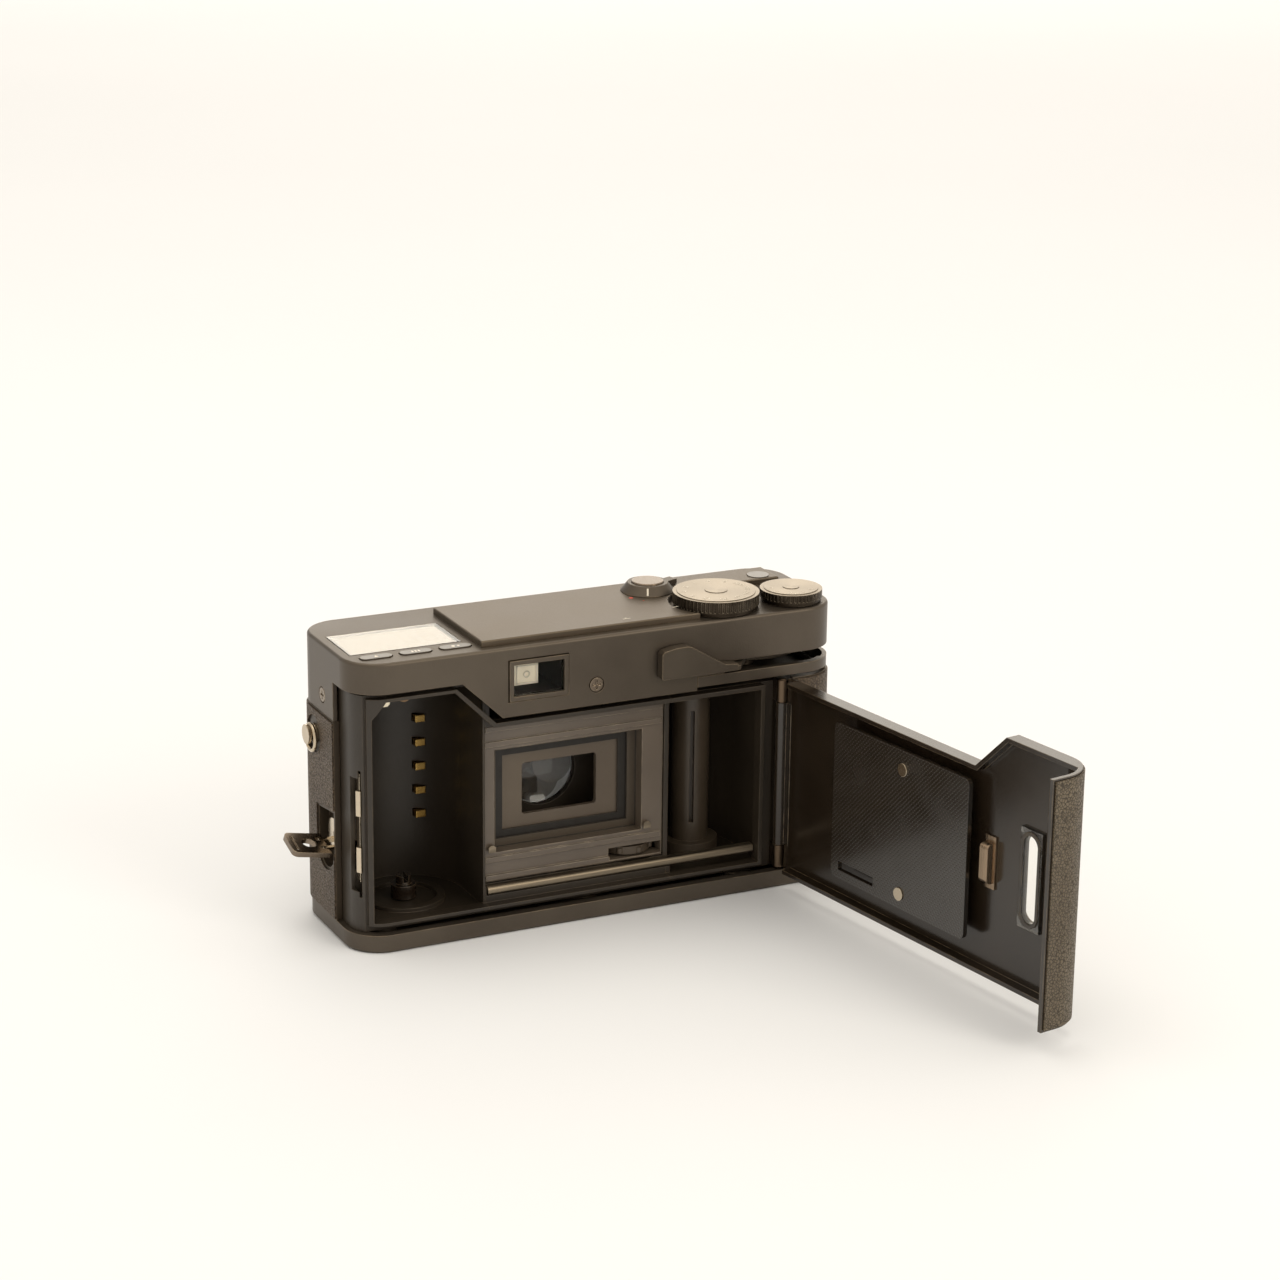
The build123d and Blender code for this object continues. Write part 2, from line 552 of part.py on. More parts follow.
def finder_tube():
    """Finder tunnel with its frame-line mask, and the short tunnel of the second window."""
    x0, x1 = FINDER_X0 - 0.6, FINDER_X1 + 0.6
    body = box(x0, x1, YB + 1.7, YF - 2.2, FINDER_Z0 - 0.6, FINDER_Z1 + 0.6)
    body -= box(FINDER_X0 + 0.6, FINDER_X1 - 0.6, YB, YF, FINDER_Z0 + 0.6, FINDER_Z1 - 0.6)
    return group([body + finder_mask(), range_tube()])


def finder_mask():
    """Frame-line mask in the finder tube."""
    y = 0.0
    body = box(FINDER_X0 + 0.5, FINDER_X1 - 0.5, y, y + 0.6, FINDER_Z0 + 0.5, FINDER_Z1 - 0.5)
    body -= box(-20.9, -13.4, y - 1, y + 2, 56.4, 61.4)
    return body


def front_window(win):
    return box(win[0] + 0.05, win[1] - 0.05, YF - 0.9, YF - 0.1, win[2] + 0.05, win[3] - 0.05)


def finder_glass():
    """Eyepiece, and the two windows in the front of the cover."""
    return group([finder_eyepiece(), front_window(FWIN), front_window(RWIN)])


def range_tube():
    body = box(RWIN[0] - 0.5, RWIN[1] + 0.5, YF - 9, YF - 1.1, RWIN[2] - 0.5, RWIN[3] + 0.5)
    return body - box(RWIN[0] + 0.5, RWIN[1] - 0.5, YF - 8, YF, RWIN[2] + 0.5, RWIN[3] - 0.5)


def lcd_window():
    return box(LCD[0], LCD[1], LCD[2], LCD[3], DECK - 1.1, DECK + 0.05)


def lcd_module():
    return box(LCD[0] + 0.8, LCD[1] - 0.8, LCD[2] + 0.8, LCD[3] - 0.8, DECK - 3.2, DECK - 1.15)


def circuit_boards():
    """Board under the display and board at the release side, both under the deck."""
    return group([box(-55.0, -30.0, -13.6, 13.0, DECK - 5.6, DECK - 4.6), main_board()])


def main_board():
    body = box(-6.0, 54.0, -4.0, 14.0, DECK - 5.6, DECK - 4.6)
    body -= zrod(LEVER_X, LEVER_Y, 4.2, 50, 70)
    body -= box(RWIN[0] - 1, RWIN[1] + 1, 7, 16, 50, 70)
    return body - zrod(D1_X, D1_Y, 3.0, 50, 70) - zrod(D2_X, D2_Y, 3.0, 50, 70)


# ================================================================ controls
def knurled(x, y, r, z0, z1, count, depth):
    body = zrod(x, y, r, z0, z1)
    cut = []
    for i in range(count):
        a = 2 * math.pi * i / count
        cut.append(Pos(x + r * math.cos(a), y + r * math.sin(a), (z0 + z1) / 2) * Rot(0, 0, math.degrees(a))
                   * Box(2 * depth, 2 * math.pi * r / count * 0.4, z1 - z0 - 0.5))
    return body - cut


def dial(x, y, r, h, count):
    skirt = zrod(x, y, r - 0.25, DECK + 0.15, DECK + 0.95)
    band = knurled(x, y, r, DECK + 0.95, DECK + h - 0.15, count, 0.22)
    cap = zrod(x, y, r - 0.9, DECK + h - 0.15, DECK + h)
    stem = zrod(x, y, DIAL_STEM_R - RUN, DECK - 3.0, DECK + 0.15)
    return skirt + band + cap + stem


def large_dial():
    return dial(D1_X, D1_Y, D1_R, D1_H, 64)


def small_dial():
    return dial(D2_X, D2_Y, D2_R, D2_H, 46)


def power_collar():
    cone = Pos(SHUT_X, SHUT_Y, PLATE_TOP + 1.05) * Cone(6.2, 4.6, 2.0)
    tab = box(SHUT_X + 2, SHUT_X + 8.4, SHUT_Y - 1.2, SHUT_Y + 1.2, PLATE_TOP + 0.1, PLATE_TOP + 1.3)
    tab = Pos(SHUT_X, SHUT_Y, 0) * Rot(0, 0, 20) * Pos(-SHUT_X, -SHUT_Y, 0) * tab
    neck = zrod(SHUT_X, SHUT_Y, SHUT_NECK_R - RUN, DECK - 2.0, PLATE_TOP + 0.1)
    body = cone + tab + neck - zrod(SHUT_X, SHUT_Y, 3.75, PLATE_TOP + 0.6, 75)
    return body - zrod(SHUT_X, SHUT_Y, SHUT_STEM_R, 50, 75)


def shutter_button():
    cap = zrod(SHUT_X, SHUT_Y, 3.7, PLATE_TOP + 1.5, PLATE_TOP + 2.4)
    cap = fillet(cap.faces().sort_by(Axis.Z)[-1].edges(), 0.3)
    return cap + zrod(SHUT_X, SHUT_Y, SHUT_STEM_R - RUN, PLATE_TOP + 1.0, PLATE_TOP + 1.5)


def pill_button(x):
    body = pill(x, 0, DECK - 2.2, DECK + 0.25)
    return body + box(x - 1.2, x + 1.2, PILL_Y - 0.9, PILL_Y + 0.9, DECK - 3.4, DECK - 2.2)


def wind_button():
    return zrod(WIND_X, WIND_Y, WIND_R - RUN, DECK - 2.5, PLATE_TOP + 0.15)


def advance_lever():
    """Flat arm on a round foot, swinging in the slot, with an upright thumb rest at its end."""
    z0, z1 = SLOT_Z1 - 1.4, SLOT_Z1 - 0.4
    foot = zrod(LEVER_X, LEVER_Y, LEVER_DISC_R, SLOT_Z0 + 0.3, z1)
    arm = Polyline((LEVER_X - 1, LEVER_Y + 4.6), (LEVER_X - 9, YB + 4.4), (30.4, YB - 0.2), (30.4, YB - 2.7),
                   (32.2, YB - 2.6), (33.6, YB - 0.4), (LEVER_X + 3, LEVER_Y - 4.2), close=True)
    arm = extrude(Pos(0, 0, z0) * make_face(arm), z1 - z0)
    rest = [(12.6, z0), (12.6, 60.9), (13.2, 61.5), (16.0, 62.0), (18.9, 62.1), (19.9, 61.8), (26.6, 57.7),
            (28.3, 56.8), (31.4, 56.5), (31.4, z0)]
    thumb = xz_prism(rest, YB - 2.9, YB - 0.5)
    thumb = fillet(thumb.edges().filter_by(Axis.Y).sort_by(Axis.X)[0:2], 0.4)
    return foot + arm + thumb - zrod(LEVER_X, LEVER_Y, SHAFT_R + RUN, 50, 60)


def lever_shaft():
    foot = COVER_Z - 1.3
    shaft = zrod(LEVER_X, LEVER_Y, SHAFT_R, foot, 59.0)
    return shaft + zrod(LEVER_X, LEVER_Y, SHAFT_R + 1, foot, SLOT_Z0 + 0.25)


def takeup_spool():
    body = zrod(SPOOL_X, SPOOL_Y, SPOOL_R, 9.4, 45.2) + zrod(SPOOL_X, SPOOL_Y, 6.6, CHAMBER_Z0 + 0.3, 9.4)
    body += zrod(SPOOL_X, SPOOL_Y, 6.6, 45.2, 47.6)
    body += zrod(SPOOL_X, SPOOL_Y, 2.0, 4.6, 49.0)
    for i in range(3):
        a = 120 * i + 40
        slot = box(SPOOL_X - 0.5, SPOOL_X + 0.5, SPOOL_Y + 2.4, SPOOL_Y + 6, 14, 41)
        body -= Pos(SPOOL_X, SPOOL_Y, 0) * Rot(0, 0, a) * Pos(-SPOOL_X, -SPOOL_Y, 0) * slot
    return body


def sprocket():
    body = zrod(SPROCKET_X, SPROCKET_Y, 5.9, 11.6, 13.4) + zrod(SPROCKET_X, SPROCKET_Y, 1.5, 6.6, 14.6)
    for i in range(8):
        a = math.radians(45 * i + 10)
        body += zrod(SPROCKET_X + 5.7 * math.cos(a), SPROCKET_Y + 5.7 * math.sin(a), 0.75, 11.9, 13.1)
    return body


def rewind_fork():
    body = zrod(FORK_X, FORK_Y, 2.85, CHAMBER_Z0 + 0.4, 9.4) + zrod(FORK_X, FORK_Y, 2.0, 4.8, 7.0)
    body += zrod(FORK_X, FORK_Y, 1.7, 9.4, 11.4)
    return body - box(FORK_X - 0.6, FORK_X + 0.6, FORK_Y - 3, FORK_Y + 3, 9.9, 12)


# ================================================================ strap rings, screws
def strap_lug(sx):
    stud = xrod(LUG_Y, LUG_Z, 1.5, min(sx * (XR - 5), sx * (XR + 1.6)), max(sx * (XR - 5), sx * (XR + 1.6)))
    head = xrod(LUG_Y, LUG_Z, 2.2, *sorted((sx * (XR + 1.6), sx * (XR + 2.3))))
    foot = xrod(LUG_Y, LUG_Z, 2.2, *sorted((sx * (XR - 2.3), sx * (XR + 0.5))))
    return stud + head + foot


def strap_lugs():
    return group([strap_lug(-1), strap_lug(1)])


def strap_ring(sx):
    return Pos(sx * (XR + 1.05), LUG_Y, LUG_Z - 0.85) * Rot(0, 90, 0) * Torus(2.9, 0.45)


def screws():
    """All cross-head screws: four in the base, one in each end, one in the back."""
    out = [screw_z(x, y, 0.1) for x, y in BASE_SCREWS] + [back_screw()]
    for sx, z in SIDE_SCREWS:
        out.append(side_screw(sx, z))
    return group(out)


def side_screw(sx, z):
    x = sx * (XR - 0.5)
    head = xrod(SCREW_SY, z, HEAD_R, min(x, x + sx * 0.5), max(x, x + sx * 0.5))
    shank = xrod(SCREW_SY, z, SHANK_R, min(x, x - sx * 1.6), max(x, x - sx * 1.6))
    face = sx * XR
    cross = box(face - 0.35, face + 0.35, SCREW_SY - CROSS, SCREW_SY + CROSS, z - CROSS_W, z + CROSS_W)
    cross += box(face - 0.35, face + 0.35, SCREW_SY - CROSS_W, SCREW_SY + CROSS_W, z - CROSS, z + CROSS)
    return head + shank - cross


def back_screw():
    x, z = SCREW_BX, SCREW_BZ
    head = yrod(x, z, HEAD_R, YB, YB + 0.5)
    shank = yrod(x, z, SHANK_R, YB + 0.5, YB + 2.4)
    cross = box(x - CROSS, x + CROSS, YB - 0.3, YB + 0.35, z - CROSS_W, z + CROSS_W)
    cross += box(x - CROSS_W, x + CROSS_W, YB - 0.3, YB + 0.35, z - CROSS, z + CROSS)
    return head + shank - cross


# ================================================================ latch
def key_frame(shape):
    """Turn a piece about the stem to the key's stored angle."""
    return Pos(0, KEY_Y, KEY_Z) * Rot(KEY_TURN, 0, 0) * Pos(0, -KEY_Y, -KEY_Z) * shape


def key_stem():
    """Stem with a disc in the recess and two ears for the leaf's hinge."""
    z = KEY_Z - KEY_PIN
    disc = xrod(KEY_Y, KEY_Z, 3.5, XL + 1.2, XL + 2.2)
    stem = xrod(KEY_Y, KEY_Z, 1.5, XL + 1.2, XL + 5.0)
    ears = box(LEAF_X - 0.6, XL + 1.3, KEY_Y - 2.0, KEY_Y - 1.2, z - 0.6, z + 0.7)
    ears += box(LEAF_X - 0.6, XL + 1.3, KEY_Y + 1.2, KEY_Y + 2.0, z - 0.6, z + 0.7)
    ears &= xrod(KEY_Y, KEY_Z, 3.5, XL - 3, XL + 5)
    return key_frame(disc + stem + ears - yrod(LEAF_X, z, 0.35, KEY_Y - 6, KEY_Y + 6))


def key_leaf():
    """D-shaped leaf, stored folded out from the end face."""
    z = KEY_Z - KEY_PIN
    leaf = box(LEAF_X - 8.4, LEAF_X + 0.55, KEY_Y - 3.9, KEY_Y + 3.9, z - 0.6, z + 0.6)
    leaf = fillet(leaf.edges().filter_by(Axis.Z).sort_by(Axis.X)[0:2], 1.3)
    for side in (-1, 1):
        y = KEY_Y + side * 1.6
        leaf -= box(LEAF_X - 1.3, LEAF_X + 1, y - 0.5, y + 0.5, z - 1, z + 1)
    leaf -= zrod(LEAF_X - 3.6, KEY_Y, 1.6, z - 2, z + 2)
    leaf -= box(LEAF_X - 7.4, LEAF_X - 6.8, KEY_Y - 2.6, KEY_Y + 2.6, z + 0.3, z + 2)
    leaf += yrod(LEAF_X, z, 0.3, KEY_Y - 2.15, KEY_Y + 2.15)
    lifted = Pos(LEAF_X, 0, z) * Rot(0, KEY_LIFT, 0) * Pos(-LEAF_X, 0, -z) * leaf
    return key_frame(lifted)


def latch_slide():
    """Bar beside the cassette chamber with two hooks for the door and a foot at the key's stem."""
    x0, x1 = XL + 2.8, XL + 4.0
    body = box(x0, x1, -12.6, -10.4, 15.6, 40.8)
    for z in HOOK_Z:
        body += box(XL + 1.6, x1, -13.1, -12.4, z, z + HOOK_H)
        body += box(XL + 1.6, x0 - 0.1, -14.4, -12.4, z, z + HOOK_H)
    body += box(x0, x1, -10.5, -9.4, KEY_Z - 2.0, KEY_Z + 1.0)
    body += box(XL + 3.6, x1 + 0.3, -10.5, KEY_Y - 4.3, KEY_Z - 2.0, KEY_Z + 1.0)
    return body & slab(WALL + 0.25, 0, 70)


# ================================================================ hinge and door
def hinge_post():
    """Two knuckles let into the chassis, and the pin through them and the door."""
    out = [hinge_pin()]
    for z0 in (DOOR_Z0 + 0.4, DOOR_Z1 - 0.4 - KNUCKLE_LEN):
        z1 = z0 + KNUCKLE_LEN
        k = zrod(HINGE_X, HINGE_Y, KNUCKLE_R, z0, z1)
        k += box(HINGE_X - 1.2, HINGE_X + 1.4, HINGE_Y, -13.2, z0, z1)
        out.append(k - zrod(HINGE_X, HINGE_Y, PIN_R, z0 - 1, z1 + 1))
    return group(out)


def hinge_pin():
    return zrod(HINGE_X, HINGE_Y, PIN_R, DOOR_Z0 + 0.3, DOOR_Z1 - 0.2)


def swing(shape):
    """Carry a piece of the door from its closed place to the stored, open one."""
    return Pos(HINGE_X, HINGE_Y, 0) * Rot(0, 0, DOOR_OPEN) * Pos(-HINGE_X, -HINGE_Y, 0) * shape


def door_outline(shrink):
    s = shrink
    return [(XL - 3, DOOR_Z0 + s), (HINGE_X + 3, DOOR_Z0 + s), (HINGE_X + 3, DOOR_Z1 - s),
            (NOTCH_B - 0.1 - s * 0.5, DOOR_Z1 - s),
             (NOTCH_A - 0.1 - s * 0.5, DOOR_TAB - s), (XL - 3, DOOR_TAB - s)]


def door_shell():
    wrap = slab(0, 0, 70) - slab(WALL, -1, 71)
    wrap &= box(XL - 1, HINGE_X - 1.6, YB - 1, YB + FLANGE, 0, 70)
    wrap -= box(XL + 12, HINGE_X, YB + WALL, 0, 0, 70)
    panel = wrap & xz_prism(door_outline(0), YB - 1, YB + FLANGE + 1)
    inner = slab(0.05, 0, 70) & box(XL + 0.2, HINGE_X - 1.6, YB + 0.5, YB + WALL + RIM, 0, 70)
    rim = (inner & xz_prism(door_outline(0), YB, 0)) - xz_prism(door_outline(WALL), YB - 1, 0)
    rim -= box(HINGE_X - 4.2, HINGE_X + 5, YB - 1, 0, 0, 70)
    body = panel + rim
    z0, z1 = DOOR_Z0 + KNUCKLE_LEN + 0.6, DOOR_Z1 - KNUCKLE_LEN - 0.6
    knuckle = zrod(HINGE_X, HINGE_Y, KNUCKLE_R, z0, z1)
    knuckle += box(HINGE_X - 3, HINGE_X, YB, YB + WALL + 0.1, z0, z1)
    body += knuckle
    body -= zrod(HINGE_X, HINGE_Y, PIN_R + RUN, 0, 70)
    body -= door_window_cut(0)
    return body


def door_window_cut(grow):
    w = WIN_W / 2 + grow
    body = box(WIN_X - w, WIN_X + w, YB - 1, YB + 3, WIN_Z0 + w, WIN_Z1 - w)
    return body + yrod(WIN_X, WIN_Z0 + w, w, YB - 1, YB + 3) + yrod(WIN_X, WIN_Z1 - w, w, YB - 1, YB + 3)


def door_window():
    return box(WIN_X - 3.4, WIN_X + 3.4, YB + WALL + 0.02, YB + WALL + 0.8, WIN_Z0 - 1.4, WIN_Z1 + 1.4)


def door_leather():
    sheet = slab(-LEATHER_T, 0, 70) - slab(-0.02, -1, 71)
    sheet &= box(XL - 2, HINGE_X - 2.2, YB - 2, YB + FLANGE - 0.6, 0, 70)
    sheet &= xz_prism(door_outline(0.5), YB - 3, 0)
    return sheet - door_window_cut(0.8)


def pressure_plate():
    y0 = PLATE_FACE - PLATE_T
    body = box(PLATE_X0, PLATE_X1, y0, PLATE_FACE, PLATE_Z0, PLATE_Z1)
    body = fillet(body.edges().filter_by(Axis.Y), 1.4)
    body -= box(6.4, 18.8, YB, 0, 13.1, 15.2)
    for z in RIVETS_Z:
        body -= yrod(RIVET_X, z, RIVET_R + RUN, YB, 0)
    return body


def plate_rivets():
    out = []
    for z in RIVETS_Z:
        shank = yrod(RIVET_X, z, RIVET_R, YB + WALL, PLATE_FACE + 0.1)
        out.append(shank + yrod(RIVET_X, z, RIVET_R + 0.6, PLATE_FACE + 0.02, PLATE_FACE + 0.3))
    return group(out)


def plate_spring():
    """Leaf spring between door and pressure plate."""
    y = YB + WALL + 0.1
    body = box(-12, 7, y, y + 0.3, 24, 34)
    body += box(-20, -11.5, y, y + 0.3, 27, 31)
    body += box(6.5, 15, y, y + 0.3, 27, 31)
    rise = PLATE_FACE - PLATE_T - PLATE_TRAVEL - 0.1 - y
    for x in (-19.7, 14.4):
        body += box(x, x + 0.3, y, y + rise, 27, 31)
    return body


def cassette_spring():
    y = YB + WALL + 0.05
    body = box(-29.9, -26.5, y, y + 0.4, 23.6, 35.4)
    bow = box(-29.5, -26.9, y + 0.3, y + 2.2, 25.0, 34.0)
    return body + fillet(bow.edges().filter_by(Axis.X).group_by(Axis.Y)[-1], 1.2)


def door_catch():
    """Two hooks on the inside of the end flange, which pass below the sliding hooks."""
    out = []
    for z in HOOK_Z:
        out.append(box(XL + WALL, XL + 2.6, -12.2, -10.6, z - 2.9, z - 0.4) & slab(WALL + 0.02, 0, 70))
    return group(out)


# ================================================================ battery
def battery_cells():
    out = []
    for i in range(2):
        z = 3.1 + i * CELL_H
        out.append(zrod(BATT_X, BATT_Y, CELL_R, z, z + CELL_H - 0.2))
    return group(out)


def battery_cover():
    body = zrod(BATT_X, BATT_Y, BATT_COVER_R, 0.15, 2.9)
    return body - box(BATT_X - 4.6, BATT_X + 4.6, BATT_Y - 0.6, BATT_Y + 0.6, 0, 1.2)


CHASSIS = chassis()
FIXED = [base_plate, tripod_bush, top_cover, body_band, top_plate, front_shell, body_leather,
         cassette_chassis, gate_chassis, spool_chassis, dx_contacts, rail_frame, light_baffle,
         gate_mask, guide_bar, lens_mount, rear_element, shutter_blades, aperture_ring, focus_ring,
         lens_barrel, lens_tube, front_element, finder_bezel, finder_glass, finder_tube, lcd_window,
         lcd_module, circuit_boards, large_dial, small_dial, power_collar, shutter_button, wind_button,
         advance_lever, lever_shaft, takeup_spool, sprocket, rewind_fork, screws, strap_lugs, key_stem,
         key_leaf, latch_slide, hinge_post, battery_cells, battery_cover]
SWUNG = [door_shell, door_window, door_leather, pressure_plate, plate_rivets, plate_spring, cassette_spring,
         door_catch]

for make in FIXED:
    save(make(), make.__name__)
for make in SWUNG:
    save(swing(make()), make.__name__)
save(strap_ring(-1), "strap_ring_left")
save(strap_ring(1), "strap_ring_right")
for number, x in enumerate(PILLS):
    save(pill_button(x), "pill_button_" + str(number + 1))
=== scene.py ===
import json
import math
import bmesh
import bpy
from mathutils import Matrix, Vector


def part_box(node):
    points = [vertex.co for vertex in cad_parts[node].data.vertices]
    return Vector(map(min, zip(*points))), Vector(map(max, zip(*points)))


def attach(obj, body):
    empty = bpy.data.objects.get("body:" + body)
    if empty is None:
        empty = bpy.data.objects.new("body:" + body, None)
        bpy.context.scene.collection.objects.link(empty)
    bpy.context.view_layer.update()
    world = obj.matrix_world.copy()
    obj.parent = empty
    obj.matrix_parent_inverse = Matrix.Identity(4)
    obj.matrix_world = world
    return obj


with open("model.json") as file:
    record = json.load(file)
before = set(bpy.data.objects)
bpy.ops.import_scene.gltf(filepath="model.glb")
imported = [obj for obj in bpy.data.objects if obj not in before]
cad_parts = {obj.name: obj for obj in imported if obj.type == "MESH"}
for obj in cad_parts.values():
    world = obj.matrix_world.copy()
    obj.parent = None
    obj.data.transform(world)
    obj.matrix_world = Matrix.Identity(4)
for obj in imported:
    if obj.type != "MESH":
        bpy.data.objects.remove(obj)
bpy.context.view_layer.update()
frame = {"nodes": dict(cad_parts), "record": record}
nodes = frame["nodes"]
scene = bpy.context.scene

MM = 0.001
INK = 0.00003            # thickness of printed marks
DOOR_OPEN = math.radians(99)

# ---------------------------------------------------------------- camera
AZ, EL, ROLL = math.radians(-25.865), math.radians(17.401), math.radians(0.652)
CAM_PLACE, CAM_LENS = (-0.29285, -0.63896, 0.28055), 92.6
back = Vector((math.sin(AZ) * math.cos(EL), -math.cos(AZ) * math.cos(EL), math.sin(EL)))
right = Vector((math.cos(AZ), math.sin(AZ), 0))
up = back.cross(right)
right_r = right * math.cos(ROLL) + up * math.sin(ROLL)
up_r = up * math.cos(ROLL) - right * math.sin(ROLL)
cam = bpy.data.objects.new("view_camera", bpy.data.cameras.new("view_camera"))
cam.data.sensor_width = 36
cam.data.lens = CAM_LENS
turn = Matrix((right_r, up_r, back)).transposed().to_4x4()
cam.matrix_world = Matrix.Translation(CAM_PLACE) @ turn
cam.data.clip_start, cam.data.clip_end = 0.05, 50
scene.collection.objects.link(cam)
scene.camera = cam


# ---------------------------------------------------------------- material kit
def rgb(r, g, b):
    """A seen 0-255 colour as the linear colour a shader takes."""
    def lin(v):
        v = v / 255
        return v / 12.92 if v <= 0.04045 else ((v + 0.055) / 1.055) ** 2.4
    return (lin(r), lin(g), lin(b), 1)


class Mat:
    """A node material with its Principled shader, and short calls that add nodes."""

    def __init__(self, name, **sockets):
        self.m = bpy.data.materials.new(name)
        self.m.use_nodes = True
        self.t = self.m.node_tree
        self.p = self.t.nodes["Principled BSDF"]
        self.space = self.node("ShaderNodeTexCoord").outputs["Object"]
        for key, value in sockets.items():
            self.p.inputs[key.replace("_", " ")].default_value = value

    def node(self, kind, **props):
        n = self.t.nodes.new(kind)
        for key, value in props.items():
            setattr(n, key, value)
        return n

    def put(self, target, value):
        if hasattr(value, "is_output"):
            self.t.links.new(value, target)
        else:
            target.default_value = value

    def noise(self, scale, detail=3.0, space=None, stretch=None):
        n = self.node("ShaderNodeTexNoise")
        self.put(n.inputs["Scale"], scale)
        self.put(n.inputs["Detail"], detail)
        self.put(n.inputs["Vector"], self.stretched(space or self.space, stretch))
        return n.outputs["Fac"]

    def cells(self, scale, feature="F1", out="Distance", space=None, random=1.0):
        n = self.node("ShaderNodeTexVoronoi", feature=feature)
        self.put(n.inputs["Scale"], scale)
        self.put(n.inputs["Randomness"], random)
        self.put(n.inputs["Vector"], space or self.space)
        return n.outputs[out]

    def stretched(self, space, stretch, turn=(0, 0, 0), move=(0, 0, 0)):
        if stretch is None:
            return space
        n = self.node("ShaderNodeMapping")
        self.put(n.inputs["Vector"], space)
        self.put(n.inputs["Scale"], stretch)
        self.put(n.inputs["Rotation"], turn)
        self.put(n.inputs["Location"], move)
        return n.outputs["Vector"]

    def span(self, value, a, b, lo=0.0, hi=1.0):
        n = self.node("ShaderNodeMapRange")
        ends = ("Value", value), ("From Min", a), ("From Max", b), ("To Min", lo), ("To Max", hi)
        for key, v in ends:
            self.put(n.inputs[key], v)
        return n.outputs["Result"]

    def math(self, op, a, b=0.0, c=0.0):
        n = self.node("ShaderNodeMath", operation=op)
        for i, v in enumerate((a, b, c)):
            self.put(n.inputs[i], v)
        return n.outputs[0]

    def mix(self, fac, a, b, blend="MIX"):
        n = self.node("ShaderNodeMix", data_type="RGBA", blend_type=blend)
        self.put(n.inputs[0], fac)
        self.put(n.inputs[6], a)
        self.put(n.inputs[7], b)
        return n.outputs[2]

    def axis(self, space=None):
        n = self.node("ShaderNodeSeparateXYZ")
        self.put(n.inputs[0], space or self.space)
        return n.outputs

    def normal(self):
        return self.axis(self.node("ShaderNodeNewGeometry").outputs["Normal"])

    def combine(self, x, y, z):
        n = self.node("ShaderNodeCombineXYZ")
        for i, v in enumerate((x, y, z)):
            self.put(n.inputs[i], v)
        return n.outputs[0]

    def edge(self, radius, lo=0.02, hi=0.25):
        """0 on a flat face, 1 on a sharp edge."""
        bev = self.node("ShaderNodeBevel", samples=4)
        self.put(bev.inputs["Radius"], radius)
        dot = self.node("ShaderNodeVectorMath", operation="DOT_PRODUCT")
        self.put(dot.inputs[0], bev.outputs[0])
        self.put(dot.inputs[1], self.node("ShaderNodeNewGeometry").outputs["Normal"])
        return self.span(dot.outputs["Value"], 1 - lo, 1 - hi)

    def bump(self, height, depth, strength=1.0, soft=None):
        b = self.node("ShaderNodeBump")
        self.put(b.inputs["Height"], height)
        self.put(b.inputs["Distance"], depth)
        self.put(b.inputs["Strength"], strength)
        if soft:
            bev = self.node("ShaderNodeBevel", samples=4)
            self.put(bev.inputs["Radius"], soft)
            self.put(b.inputs["Normal"], bev.outputs[0])
        self.put(self.p.inputs["Normal"], b.outputs[0])
        return b

    def colour(self, value):
        self.put(self.p.inputs["Base Color"], value)

    def rough(self, value):
        self.put(self.p.inputs["Roughness"], value)


def finish_like(name, dark, light, rough, vary=0.06, patch=45, grain=3500, depth=0.000012,
                wear=None, worn=0.6, soft=0.00025, **sockets):
    """Paint, plastic or metal: two tones in patches, fine grain, uneven gloss and rubbed edges."""
    m = Mat(name, **sockets)
    blotch = m.noise(patch, 5)
    grit = m.noise(grain, 2)
    tone = m.mix(m.span(blotch, 0.35, 0.65), dark, light)
    if wear:
        rub = m.math("MULTIPLY", m.edge(0.00035), m.span(m.noise(260, 4), 0.42, 0.62, 0.12, worn))
        tone = m.mix(rub, tone, wear)
    m.colour(tone)
    gloss = m.math("ADD", blotch, m.math("MULTIPLY", grit, 0.5))
    m.rough(m.span(gloss, 0.4, 1.1, rough - vary, rough + vary))
    m.bump(grit, depth, 0.8, soft)
    return m.m


def brushed(name, tint, rough, stretch, dark=0.55, depth=0.000006, **sockets):
    """Metal with fine drawn lines."""
    m = Mat(name, Metallic=1.0, **sockets)
    lines = m.noise(900, 3, stretch=stretch)
    low = tuple(c * dark for c in tint[:3]) + (1,)
    m.colour(m.mix(m.span(lines, 0.3, 0.7), low, tint))
    m.rough(m.span(lines, 0.3, 0.7, rough, rough + 0.14))
    m.bump(lines, depth, 0.6, 0.0001)
    return m.m


